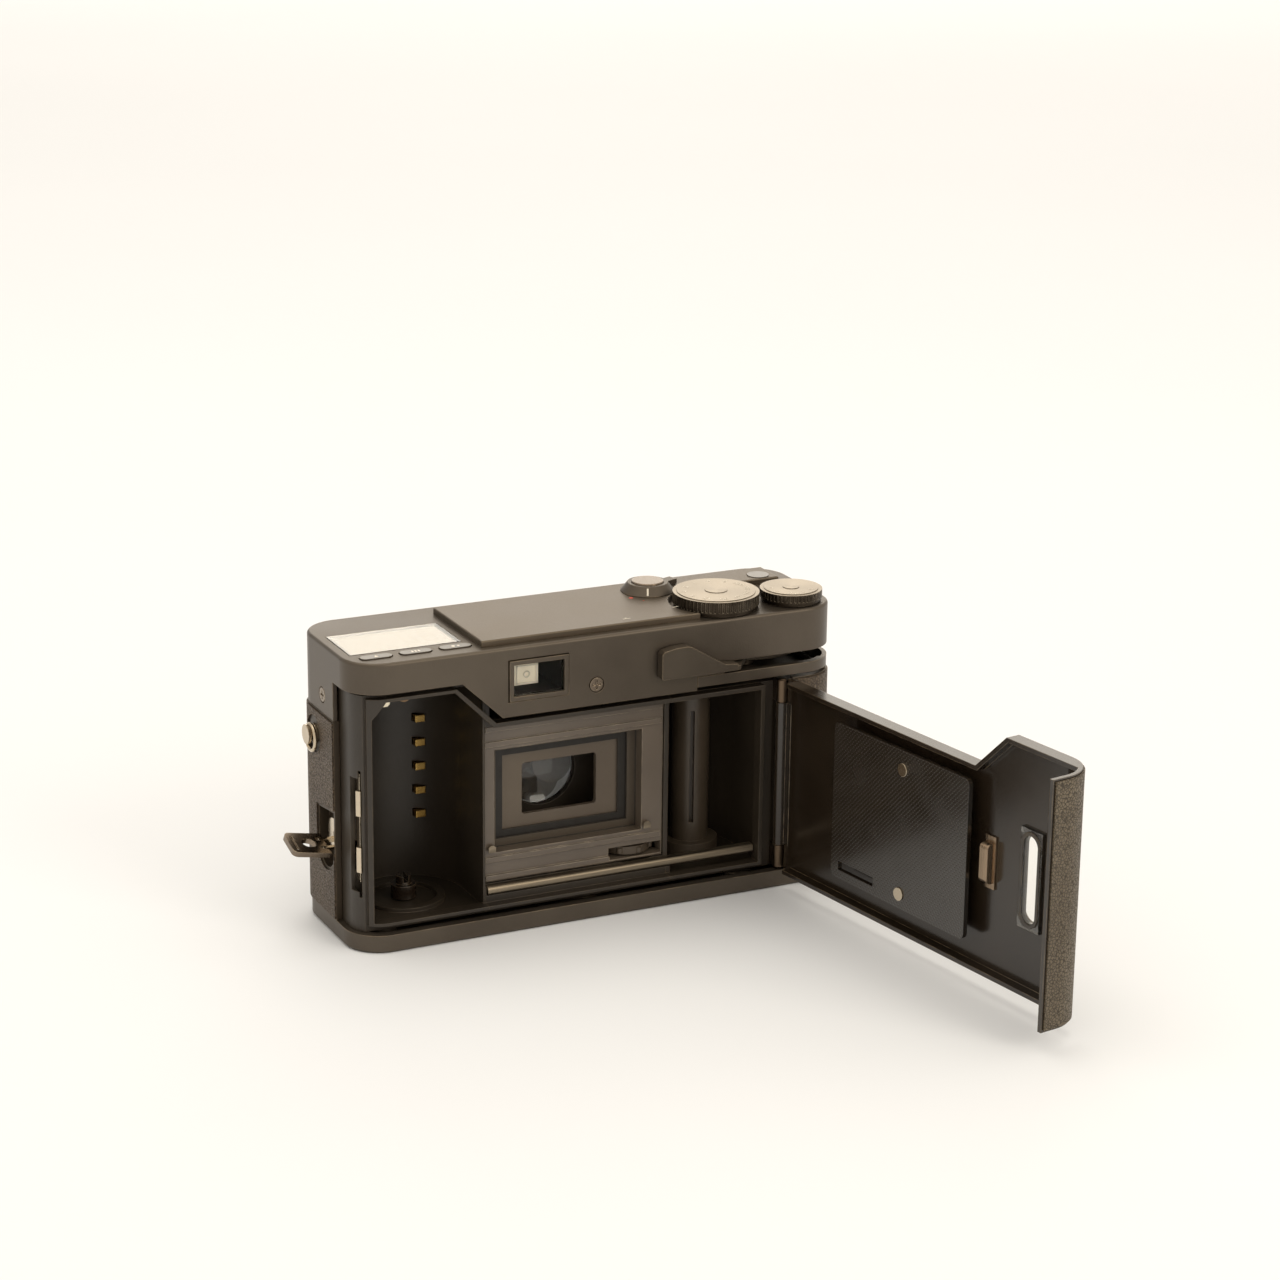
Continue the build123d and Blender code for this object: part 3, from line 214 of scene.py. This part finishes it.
def spun(name, cx, cy, tint, side, rough=0.3):
    """A turned dial: fine circles on top, plain dark sides. The top's light tone is partly the turned metal
    and partly a painted highlight, and a two-lobed painted sheen runs across it.
    """
    m = Mat(name, Metallic=0.85)
    x, y, z = m.axis()
    dx, dy = m.math("SUBTRACT", x, cx), m.math("SUBTRACT", y, cy)
    radius = m.math("SQRT", m.math("ADD", m.math("MULTIPLY", dx, dx), m.math("MULTIPLY", dy, dy)))
    rings = m.noise(1.0, 2, space=m.combine(m.math("MULTIPLY", radius, 9000), 0, 0))
    # two-lobed painted sheen round the dial's centre
    sheen_lobes = m.math("SINE", m.math("MULTIPLY", m.math("ARCTAN2", dy, dx), 2))
    # faces that point up get the light tone: partly the metal's own colour, partly painted highlight
    top = m.span(m.normal()[2], 0.6, 0.9)
    top_tone_and_sheen = m.mix(m.span(sheen_lobes, -1, 1), tuple(c * 0.82 for c in tint[:3]) + (1,), tint)
    top_tone_and_sheen = m.mix(m.span(rings, 0.3, 0.7, 0, 0.25), top_tone_and_sheen, tuple(c * 0.6 for c in tint[:3]) + (1,))
    rub = m.math("MULTIPLY", m.edge(0.0003), m.span(m.noise(300, 3), 0.35, 0.6, 0.1, 0.7))
    m.colour(m.mix(top, m.mix(rub, side, tint), top_tone_and_sheen))
    m.rough(m.span(m.math("ADD", rings, m.math("MULTIPLY", top, 0.2)), 0.3, 0.9, rough + 0.12, rough))
    m.bump(m.math("MULTIPLY", rings, top), 0.00001, 0.6, 0.00015)
    return m.m


def leatherette(name, dark, light):
    """Pebbled vinyl: rounded cells with creases between, painted dark there as painted shade, and a fine skin
    on top.
    """
    m = Mat(name, Specular_IOR_Level=0.55)
    wander = m.node("ShaderNodeVectorMath", operation="ADD")
    shift = m.node("ShaderNodeTexNoise")
    m.put(shift.inputs["Scale"], 900)
    m.put(shift.inputs["Vector"], m.space)
    scaled = m.node("ShaderNodeVectorMath", operation="SCALE")
    m.put(scaled.inputs[0], shift.outputs["Color"])
    m.put(scaled.inputs["Scale"], 0.0005)
    m.put(wander.inputs[0], m.space)
    m.put(wander.inputs[1], scaled.outputs[0])
    pebble = m.cells(1500, "SMOOTH_F1", space=wander.outputs[0])
    crease = m.cells(1500, "DISTANCE_TO_EDGE", space=wander.outputs[0])
    blotch = m.noise(70, 4)
    valley = m.span(crease, 0.02, 0.16)
    tone = m.mix(m.span(blotch, 0.35, 0.65), dark, light)
    # creases painted down to a third of the dark tone: painted shade
    m.colour(m.mix(valley, tuple(c * 0.35 for c in dark[:3]) + (1,), tone))
    m.rough(m.span(valley, 0, 1, 0.75, 0.46))
    height = m.math("SUBTRACT", m.math("ADD", valley, m.math("MULTIPLY", m.noise(5200, 3), 0.25)), pebble)
    m.bump(height, 0.00011, 1.0)
    return m.m


def clear(name, tint, rough=0.03, ior=1.5, smear=0.12):
    """Coated glass or clear plastic with a faint uneven wipe on it."""
    m = Mat(name, Transmission_Weight=1.0, IOR=ior, Base_Color=tint)
    m.rough(m.span(m.noise(60, 5), 0.5, 0.75, rough, rough + smear))
    m.bump(m.noise(400, 2), 0.000001, 0.5)
    return m.m


paint = finish_like("black_paint", rgb(80, 72, 63), rgb(90, 82, 72), 0.4, vary=0.07, wear=rgb(168, 148, 120),
                    grain=3200, depth=0.00003, Metallic=0.7, Specular_IOR_Level=0.6)
plate_paint = finish_like("plate_paint", rgb(86, 76, 64), rgb(96, 86, 73), 0.4, wear=rgb(190, 172, 142),
                          grain=3200, depth=0.00003, Metallic=0.75, Specular_IOR_Level=0.6)
shell_paint = finish_like("shell_paint", rgb(56, 47, 36), rgb(66, 56, 44), 0.42, wear=rgb(150, 130, 102),
                          depth=0.00002, Metallic=0.5, Specular_IOR_Level=0.6)
inner_black = finish_like("inner_black", rgb(38, 32, 25), rgb(48, 41, 32), 0.46, grain=2600, depth=0.00003,
                          wear=rgb(120, 104, 80), worn=0.5)
rail_black = finish_like("rail_black", rgb(84, 74, 64), rgb(96, 86, 75), 0.34,
                         wear=rgb(170, 156, 134), worn=0.9, Specular_IOR_Level=0.7)
mask_black = finish_like("mask_black", rgb(84, 74, 64), rgb(96, 86, 74), 0.5, depth=0.00003)
baffle_black = Mat("baffle_black", Specular_IOR_Level=0.5)
gloss_black = finish_like("gloss_black", rgb(30, 23, 18), rgb(38, 30, 23), 0.17, vary=0.05, grain=900,
                          depth=0.000004, wear=rgb(140, 122, 96), worn=0.4, Specular_IOR_Level=0.6)
button_black = finish_like("button_black", rgb(58, 50, 40), rgb(68, 59, 48), 0.33, wear=rgb(130, 116, 96),
                           Specular_IOR_Level=0.8, Coat_Weight=0.4, Coat_Roughness=0.3)
spool_black = finish_like("spool_plastic", rgb(62, 53, 43), rgb(74, 64, 52), 0.4, wear=rgb(120, 106, 86))
leather = leatherette("body_leatherette", rgb(76, 60, 42), rgb(88, 71, 50))
door_grain = leatherette("door_leatherette", rgb(92, 80, 62), rgb(106, 94, 74))
chrome = finish_like("chrome", rgb(190, 176, 154), rgb(212, 199, 178), 0.14, vary=0.05, grain=500,
                     depth=0.000004, Metallic=1.0)
dark_nickel = finish_like("dark_nickel", rgb(112, 100, 88), rgb(134, 121, 107), 0.24, grain=900,
                          depth=0.000005, wear=rgb(200, 186, 160), Metallic=1.0)
pin_metal = finish_like("pin_metal", rgb(92, 78, 64), rgb(112, 96, 80), 0.34, grain=900,
                        depth=0.00001, Metallic=1.0)
grey_metal = brushed("drawn_grey", rgb(150, 138, 120), 0.34, (0.05, 1, 1))
steel = brushed("spring_steel", rgb(178, 156, 132), 0.2, (1, 1, 0.04))
gold = finish_like("contact_gold", rgb(206, 164, 88), rgb(226, 190, 118), 0.24, grain=1200, depth=0.000006,
                   wear=rgb(240, 214, 150), Metallic=1.0)
glass = clear("coated_glass", (0.93, 0.96, 0.98, 1), 0.01, 1.52, 0.02)
eye_glass = clear("finder_glass", (0.97, 0.98, 0.97, 1), 0.0, 1.12, 0.01)
window_clear = clear("window_plastic", (0.96, 0.95, 0.92, 1), 0.02, 1.49, 0.06)
cell_skin = brushed("battery_skin", rgb(196, 188, 172), 0.3, (1, 1, 0.05))
white_fill = finish_like("white_fill", rgb(214, 206, 190), rgb(236, 230, 218), 0.5, grain=2000, depth=0.00001)
red_fill = finish_like("red_fill", rgb(196, 62, 48), rgb(216, 84, 66), 0.45, grain=2000, depth=0.00001)
cream_metal = finish_like("cream_metal", rgb(214, 200, 172), rgb(238, 228, 204), 0.32, grain=900,
                          depth=0.00001, wear=rgb(250, 244, 228), Metallic=0.6)
amber = finish_like("amber_plastic", rgb(96, 72, 44), rgb(132, 102, 66), 0.3, grain=900, depth=0.00001)
grey_screen = Mat("display_screen", Roughness=0.45, Specular_IOR_Level=0.3)
grey_screen.colour(grey_screen.mix(grey_screen.noise(90, 3), rgb(204, 197, 186), rgb(214, 208, 198)))
grey_screen.bump(grey_screen.noise(5000, 1), 0.000003, 0.4)


def ribbed():
    """Fine ribs across the walls of the light baffle, with painted shade in the troughs and painted highlight
    on the crests.
    """
    m = baffle_black
    x, y, z = m.axis()
    rib = m.math("SINE", m.math("MULTIPLY", y, 2 * math.pi / 0.00045))
    # rib troughs painted dark and crests painted light: painted shade and painted highlight
    m.colour(m.mix(m.span(rib, -1, 1), rgb(24, 20, 15), rgb(74, 65, 54)))
    m.rough(m.span(m.noise(300, 3), 0.3, 0.7, 0.45, 0.62))
    m.bump(rib, 0.00012, 0.9)


def dimpled():
    """Glossy black pressure plate with a grid of small dimples, drawn in the open door's own axes; the
    dimples are painted lighter as painted highlights.
    """
    m = Mat("dimpled_black", Specular_IOR_Level=0.75, Coat_Weight=0.3, Coat_Roughness=0.12)
    flat = m.stretched(m.space, (1, 1, 1), (0, 0, -DOOR_OPEN))
    x, y, z = m.axis(flat)
    step = 0.0011
    across = m.math("SINE", m.math("MULTIPLY", x, 2 * math.pi / step))
    along = m.math("SINE", m.math("MULTIPLY", z, 2 * math.pi / step))
    pit = m.span(m.math("MULTIPLY", across, along), 0.35, 0.85)
    # the dimples get a lighter colour: a painted highlight in each dimple
    m.colour(m.mix(pit, m.mix(m.noise(50, 3), rgb(26, 21, 16), rgb(36, 30, 23)), rgb(58, 50, 39)))
    m.rough(m.span(m.noise(120, 4), 0.3, 0.7, 0.16, 0.3))
    m.bump(m.math("MULTIPLY", pit, -1.0), 0.00006, 0.7, 0.0002)
    return m.m


ribbed()
plate_gloss = dimpled()
door_black = finish_like("door_black", rgb(34, 27, 20), rgb(44, 36, 27), 0.2, vary=0.06, grain=1400,
                         depth=0.000006, wear=rgb(150, 132, 104), worn=0.6, Specular_IOR_Level=0.7)
board_green = finish_like("board_green", rgb(26, 60, 38), rgb(32, 74, 46), 0.4, wear=rgb(150, 150, 110))

# ---------------------------------------------------------------- looks of the CAD parts
LOOKS = {
    "top_cover": paint, "base_plate": paint, "front_shell": shell_paint, "body_band": paint,
    "top_plate": plate_paint, "finder_bezel": paint, "battery_cover": paint, "advance_lever": paint,
    "body_leather": leather, "door_leather": door_grain, "door_shell": door_black,
    "cassette_chassis": inner_black, "gate_chassis": inner_black, "spool_chassis": inner_black,
    "rail_frame": rail_black, "light_baffle": baffle_black.m, "gate_mask": mask_black,
    "lens_mount": inner_black, "guide_bar": grey_metal, "lens_tube": mask_black,
    "rear_element": glass, "front_element": glass, "finder_glass": eye_glass,
    "finder_tube": inner_black, "lcd_window": window_clear, "door_window": window_clear,
    "lens_barrel": shell_paint, "focus_ring": paint, "aperture_ring": paint, "shutter_blades": mask_black,
    "power_collar": paint, "shutter_button": dark_nickel, "wind_button": button_black,
    "lever_shaft": dark_nickel, "takeup_spool": spool_black, "sprocket": spool_black,
    "rewind_fork": gloss_black, "screws": dark_nickel, "strap_lugs": chrome, "strap_ring_left": chrome,
    "strap_ring_right": chrome, "key_stem": chrome, "key_leaf": dark_nickel, "latch_slide": chrome,
    "hinge_post": pin_metal, "battery_cells": cell_skin, "tripod_bush": chrome,
    "pressure_plate": plate_gloss, "plate_rivets": chrome, "plate_spring": steel, "cassette_spring": steel,
    "door_catch": grey_metal, "pill_button_1": button_black, "pill_button_2": button_black,
    "pill_button_3": button_black, "dx_contacts": gold, "large_dial": None, "small_dial": None,
    "lcd_module": grey_screen.m, "circuit_boards": board_green,
}


def dress(name, material):
    for s in nodes[name].material_slots:
        s.link = "OBJECT"
        s.material = material


def middle(node):
    lo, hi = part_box(node)
    return (lo + hi) / 2


for name in ("large_dial", "small_dial"):
    c = middle(name)
    # light top tone, partly a painted highlight, and dark side tone for each dial
    LOOKS[name] = spun(name + "_metal", c.x, c.y, rgb(164, 152, 134), rgb(48, 40, 31))
for name, material in LOOKS.items():
    dress(name, material)


# ---------------------------------------------------------------- small pieces on the CAD parts
def piece(name, bm, body, material, bevel=0.0, smooth=False):
    mesh = bpy.data.meshes.new(name)
    bmesh.ops.recalc_face_normals(bm, faces=bm.faces)
    bm.to_mesh(mesh)
    bm.free()
    mesh.materials.append(material)
    for f in mesh.polygons:
        f.use_smooth = smooth
    ob = bpy.data.objects.new(name, mesh)
    scene.collection.objects.link(ob)
    if bevel:
        mod = ob.modifiers.new("edges", "BEVEL")
        mod.width, mod.segments, mod.limit_method = bevel, 2, "ANGLE"
    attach(ob, body)
    return ob


def prism(bm, points, lift, turn=None):
    """A flat outline of 3D points given thickness along lift, turned by a matrix if one is given."""
    low = [bm.verts.new(p) for p in points]
    high = [bm.verts.new(Vector(p) + Vector(lift)) for p in points]
    bm.faces.new(low)
    bm.faces.new(high)
    for i in range(len(low)):
        j = (i + 1) % len(low)
        bm.faces.new((low[i], low[j], high[j], high[i]))
    if turn is not None:
        bmesh.ops.transform(bm, matrix=turn, verts=low + high)
    return bm


def disc_points(cx, cy, z, r, n=24):
    turns = [2 * math.pi * i / n for i in range(n)]
    return [(cx + r * math.cos(a), cy + r * math.sin(a), z) for a in turns]


def letters(name, text, size, matrix, body, material, thick=INK, bend=None):
    """Raised numerals. matrix places them, and bend wraps them round a ring of that radius along +Y."""
    curve = bpy.data.curves.new(name + "_curve", "FONT")
    curve.body, curve.size, curve.align_x, curve.align_y = text, size, "CENTER", "CENTER"
    curve.extrude = thick
    holder = bpy.data.objects.new(name + "_curve", curve)
    scene.collection.objects.link(holder)
    bpy.context.view_layer.update()
    mesh = bpy.data.meshes.new_from_object(holder.evaluated_get(bpy.context.evaluated_depsgraph_get()))
    bpy.data.objects.remove(holder)
    bm = bmesh.new()
    bm.from_mesh(mesh)
    for v in bm.verts:
        if bend:
            a = v.co.x / bend
            v.co = Vector((math.sin(a) * (bend + v.co.z), v.co.y, math.cos(a) * (bend + v.co.z)))
        v.co = matrix @ v.co
    return piece(name, bm, body, material)


plate_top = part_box("top_plate")[1].z

# numerals round the two dials, outward-facing, with a row of ticks round the small dial
big, small = middle("large_dial"), middle("small_dial")
big_top, small_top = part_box("large_dial")[1].z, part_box("small_dial")[1].z
for i, word in enumerate(("1", "2", "4", "8", "15", "30", "60", "125", "250", "500", "B", "A")):
    a = 2 * math.pi * i / 12 + 0.3
    place = Matrix.Translation((big.x, big.y, big_top)) @ Matrix.Rotation(a, 4, "Z")
    place @= Matrix.Translation((0, 7.1 * MM, 0))
    letters("speed_mark_%02d" % i, word, 1.75 * MM, place, "large_dial", white_fill)
for i, word in enumerate(("2", "1", "0", "1", "2")):
    a = math.radians(36 * (i - 2) + 150)
    place = Matrix.Translation((small.x, small.y, small_top)) @ Matrix.Rotation(a, 4, "Z")
    place @= Matrix.Translation((0, 4.7 * MM, 0))
    letters("comp_mark_%d" % i, word, 1.5 * MM, place, "small_dial", white_fill)
bm = bmesh.new()
for i in range(13):
    a = math.radians(12 * (i - 6) + 150)
    turn = Matrix.Translation((small.x, small.y, small_top)) @ Matrix.Rotation(a, 4, "Z")
    tick = ((-0.08, 5.55), (0.08, 5.55), (0.08, 6.05), (-0.08, 6.05))
    prism(bm, [(x * MM, y * MM, 0) for x, y in tick], (0, 0, INK), turn)
piece("comp_ticks", bm, "small_dial", white_fill)
for name, c, top, r, body in (("large_dial_hub", big, big_top, 2.6, "large_dial"),
                              ("small_dial_hub", small, small_top, 1.9, "small_dial")):
    bm = bmesh.new()
    prism(bm, disc_points(c.x, c.y, top, r * MM, 40), (0, 0, 0.00012))
    piece(name, bm, body, LOOKS[body], bevel=0.00006)

# index line on the collar, index dots and marks on the plate
collar = middle("shutter_button")
cone = [(4.9, 1.75), (6.05, 0.35)]
bm = bmesh.new()
quad = []
for (r, z), side in ((cone[0], -1), (cone[0], 1), (cone[1], 1), (cone[1], -1)):
    quad.append((side * 0.22 * MM, r * MM, plate_top + z * MM))
turn = Matrix.Translation((collar.x, collar.y, 0)) @ Matrix.Rotation(math.radians(155), 4, "Z")
prism(bm, quad, (0, 0.00006, 0.00005), turn)
piece("collar_index", bm, "power_collar", white_fill)
bm = bmesh.new()
prism(bm, disc_points(15.3 * MM, 1.5 * MM, plate_top, 0.5 * MM), (0, 0, INK))
prism(bm, disc_points(17.0 * MM, -1.5 * MM, plate_top, 0.18 * MM), (0, 0, INK))
piece("index_dots", bm, "camera_body", red_fill)
bm = bmesh.new()
for bar in (((20.6, -9.0), (22.2, -8.7), (22.2, -8.35), (20.6, -8.65)),
            ((6.6, -12.6), (8.4, -12.6), (8.4, -12.35), (6.6, -12.35))):
    prism(bm, [(x * MM, y * MM, plate_top) for x, y in bar], (0, 0, INK))
prism(bm, disc_points(7.5 * MM, -12.1 * MM, plate_top, 0.35 * MM, 3), (0, 0, INK))
piece("plate_marks", bm, "camera_body", white_fill)

# one small sign on each pill button
for i in (1, 2, 3):
    node = "pill_button_%d" % i
    c, top = middle(node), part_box(node)[1].z
    bm = bmesh.new()
    if i == 1:
        prism(bm, [(c.x + x * MM, c.y + y * MM, top) for x, y in ((-0.5, -0.5), (0.5, -0.5), (0, 0.6))],
              (0, 0, INK))
    elif i == 2:
        for k in range(3):
            x = (k - 1) * 0.75
            bar = ((-0.2, -0.5), (0.2, -0.5), (0.2, 0.5), (-0.2, 0.5))
            prism(bm, [(c.x + (x + u) * MM, c.y + v * MM, top) for u, v in bar], (0, 0, INK))
    else:
        prism(bm, disc_points(c.x - 0.5 * MM, c.y, top, 0.42 * MM), (0, 0, INK))
        prism(bm, disc_points(c.x + 0.7 * MM, c.y, top, 0.3 * MM), (0, 0, INK))
    piece("pill_sign_%d" % i, bm, node, white_fill)

# segments of the display, under its window
lcd_lo, lcd_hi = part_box("lcd_module")
bm = bmesh.new()
for k in range(2):
    x0, y0 = lcd_lo.x + (14.0 + 4.6 * k) * MM, lcd_lo.y + 3.2 * MM
    for u0, v0, u1, v1 in ((0.3, 0, 2.7, 0.4), (0.3, 3.3, 2.7, 3.7), (0.3, 6.6, 2.7, 7.0),
                           (0, 0.4, 0.4, 3.3), (2.6, 0.4, 3.0, 3.3), (0, 3.7, 0.4, 6.6),
                           (2.6, 3.7, 3.0, 6.6)):
        corners = ((u0, v0), (u1, v0), (u1, v1), (u0, v1))
        prism(bm, [(x0 + u * MM, y0 + v * MM, lcd_hi.z) for u, v in corners], (0, 0, 0.00002))
piece("display_segments", bm, "camera_body",
      finish_like("segment_ink", rgb(196, 187, 168), rgb(202, 193, 174), 0.5, depth=0.000002))

# frame-line plate and target inside the finder, seen through the eyepiece
eye_lo, eye_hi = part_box("finder_bezel")
bm = bmesh.new()
y = eye_hi.y + 1.6 * MM
x0, x1, z0, z1 = eye_lo.x + 3.0 * MM, eye_lo.x + 8.0 * MM, eye_lo.z + 2.6 * MM, eye_hi.z - 2.4 * MM
t = 0.22 * MM
for a, b, c, d in ((x0, z0, x1, z0 + t), (x0, z1 - t, x1, z1),
                   (x0, z0, x0 + t, z1), (x1 - t, z0, x1, z1)):
    prism(bm, [(a, y, b), (c, y, b), (c, y, d), (a, y, d)], (0, 0.0001, 0))
piece("bright_frame", bm, "camera_body", white_fill)
bm = bmesh.new()
cx, cz = (x0 + x1) / 2, (z0 + z1) / 2
outer, inner = ([(cx + r * MM * math.cos(k * math.pi / 12), y, cz + r * MM * math.sin(k * math.pi / 12))
                 for k in range(24)] for r in (0.8, 0.5))
for k in range(24):
    prism(bm, [outer[k], outer[(k + 1) % 24], inner[(k + 1) % 24], inner[k]], (0, 0.0001, 0))
piece("finder_ring", bm, "camera_body", white_fill)
# a glowing patch behind the frame lines: painted light standing in for daylight through the finder windows
bm = bmesh.new()
margin, behind = 0.3 * MM, y + 0.0003
prism(bm, [(x0 - margin, behind, z0 - margin), (x1 + margin, behind, z0 - margin),
           (x1 + margin, behind, z1 + margin), (x0 - margin, behind, z1 + margin)], (0, 0.0003, 0))
patch = Mat("finder_glow_patch", Roughness=0.4, Emission_Strength=0.55)
patch.p.inputs["Emission Color"].default_value = rgb(176, 168, 150)
patch.colour(patch.mix(patch.noise(300, 2), rgb(170, 158, 136), rgb(190, 178, 156)))
piece("finder_glow_patch", bm, "camera_body", patch.m)

# cassette chamber: metal tab and amber roller at its top
bm = bmesh.new()
tab = [(-52.4, 56.9), (-52.4, 55.4), (-51.8, 54.9), (-49.2, 54.9), (-48.6, 55.4), (-48.6, 56.9)]
prism(bm, [(x * MM, -12.6 * MM, z * MM) for x, z in tab], (0, 0.0012, 0))
piece("chamber_tab", bm, "camera_body", cream_metal, bevel=0.00012)
bm = bmesh.new()
for k in range(7):
    a0, a1 = math.pi * k / 7, math.pi * (k + 1) / 7
    c, r = (-45.2 * MM, 57.0 * MM), 1.6 * MM
    prism(bm, [(c[0], -12.4 * MM, c[1]), (c[0] - r * math.cos(a0), -12.4 * MM, c[1] - r * math.sin(a0)),
               (c[0] - r * math.cos(a1), -12.4 * MM, c[1] - r * math.sin(a1))], (0, 0.002, 0))
piece("chamber_roller", bm, "camera_body", amber)

# two steel lugs that hold the film edge at the foot of the rail frame
lo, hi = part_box("rail_frame")
bm = bmesh.new()
for x in (-24.9, 13.1):
    shape = ((-0.9, 0.2), (0.9, 0.2), (0.9, 1.4), (0.5, 1.8), (-0.5, 1.8), (-0.9, 1.4))
    prism(bm, [((x + u) * MM, lo.y, (17.4 + v) * MM) for u, v in shape], (0, -0.00025, 0))
piece("film_lugs", bm, "camera_body", grey_metal, bevel=0.00005)

# index numbers round the lens rings, where a hand sets them
lens = middle("focus_ring")
for node, words, step in (("aperture_ring", ("16", "11", "8", "5.6", "4", "2.8"), 15),
                          ("focus_ring", ("0.8", "1", "1.5", "2", "3", "5", "10"), 18)):
    lo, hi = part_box(node)
    r = (hi.z - lo.z) / 2
    face = lo.y + (0.7 if node == "aperture_ring" else 0.45) * MM
    for k, word in enumerate(words):
        a = math.radians((k - (len(words) - 1) / 2) * step)
        turn = Matrix.Translation((lens.x, face, lens.z)) @ Matrix.Rotation(a, 4, "Y")
        turn @= Matrix.Rotation(math.pi, 4, "Z")
        letters("%s_mark_%d" % (node, k), word, 0.95 * MM, turn, node, white_fill, bend=r)

# frame round the film window inside the door, laid out on the closed door and then swung open with it
joints = frame["record"]["behaviour"]["joints"]
hinge = Vector(next(j for j in joints if j["name"] == "door_hinge")["pos_m"])
swing = Matrix.Translation((hinge.x, hinge.y, 0)) @ Matrix.Rotation(DOOR_OPEN, 4, "Z") \
    @ Matrix.Translation((-hinge.x, -hinge.y, 0))
bm = bmesh.new()
rim_out, rim_in = [], []
for k in range(32):
    a = 2 * math.pi * k / 32
    for ring, r in ((rim_out, 3.1), (rim_in, 2.3)):
        zc = 37.2 if math.sin(a) >= 0 else 22.2
        ring.append(((-41.3 + r * math.cos(a)) * MM, -15.78 * MM, (zc + r * math.sin(a)) * MM))
for k in range(32):
    j = (k + 1) % 32
    prism(bm, [rim_out[k], rim_out[j], rim_in[j], rim_in[k]], (0, 0.00025, 0), swing)
piece("window_frame", bm, "door", door_black, bevel=0.00005)


# ---------------------------------------------------------------- studio
def studio():
    floor_mat = Mat("studio_paper", Roughness=0.85)
    floor_mat.colour(floor_mat.mix(floor_mat.noise(3, 2), rgb(232, 236, 243), rgb(236, 240, 247)))
    bm = bmesh.new()
    rows = [(-3.0, 0.0), (3.2, 0.0)]
    bend = [math.pi / 24 * i for i in range(1, 13)]
    rows += [(3.2 + 0.8 * math.sin(a), 0.8 - 0.8 * math.cos(a)) for a in bend]
    rows += [(4.0, 3.0)]
    lines = [[bm.verts.new((x, y, z)) for x in (-4, 4)] for y, z in rows]
    for a, b in zip(lines, lines[1:]):
        bm.faces.new((a[0], a[1], b[1], b[0]))
    mesh = bpy.data.meshes.new("studio_sweep")
    bm.to_mesh(mesh)
    bm.free()
    sweep = bpy.data.objects.new("studio_sweep", mesh)
    scene.collection.objects.link(sweep)
    mesh.materials.append(floor_mat.m)
    for f in mesh.polygons:
        f.use_smooth = True
    world = bpy.data.worlds.new("soft_room")
    world.use_nodes = True
    world.node_tree.nodes["Background"].inputs["Color"].default_value = (1.0, 0.915, 0.79, 1)
    world.node_tree.nodes["Background"].inputs["Strength"].default_value = 0.9
    scene.world = world
    for name, place, aim, size, power, tint in (
        ("overhead", (-0.05, 0.1, 1.1), (0, 0, 0.03), 1.0, 4.2, (1.0, 0.93, 0.81)),
        ("back_panel", (1.15, 2.35, 0.95), (0, 0, 0.05), 2.0, 17.0, (1.0, 0.91, 0.77)),
        ("front_right", (0.6, -1.2, 0.8), (0, 0, 0.03), 0.6, 4.8, (1.0, 0.91, 0.77)),
    ):
        lamp = bpy.data.lights.new(name, "AREA")
        lamp.size, lamp.energy, lamp.color = size, power, tint
        ob = bpy.data.objects.new(name, lamp)
        ob.location = place
        ob.rotation_euler = (Vector(place) - Vector(aim)).to_track_quat("Z", "Y").to_euler()
        scene.collection.objects.link(ob)
    scene.view_settings.view_transform = "Standard"


studio()
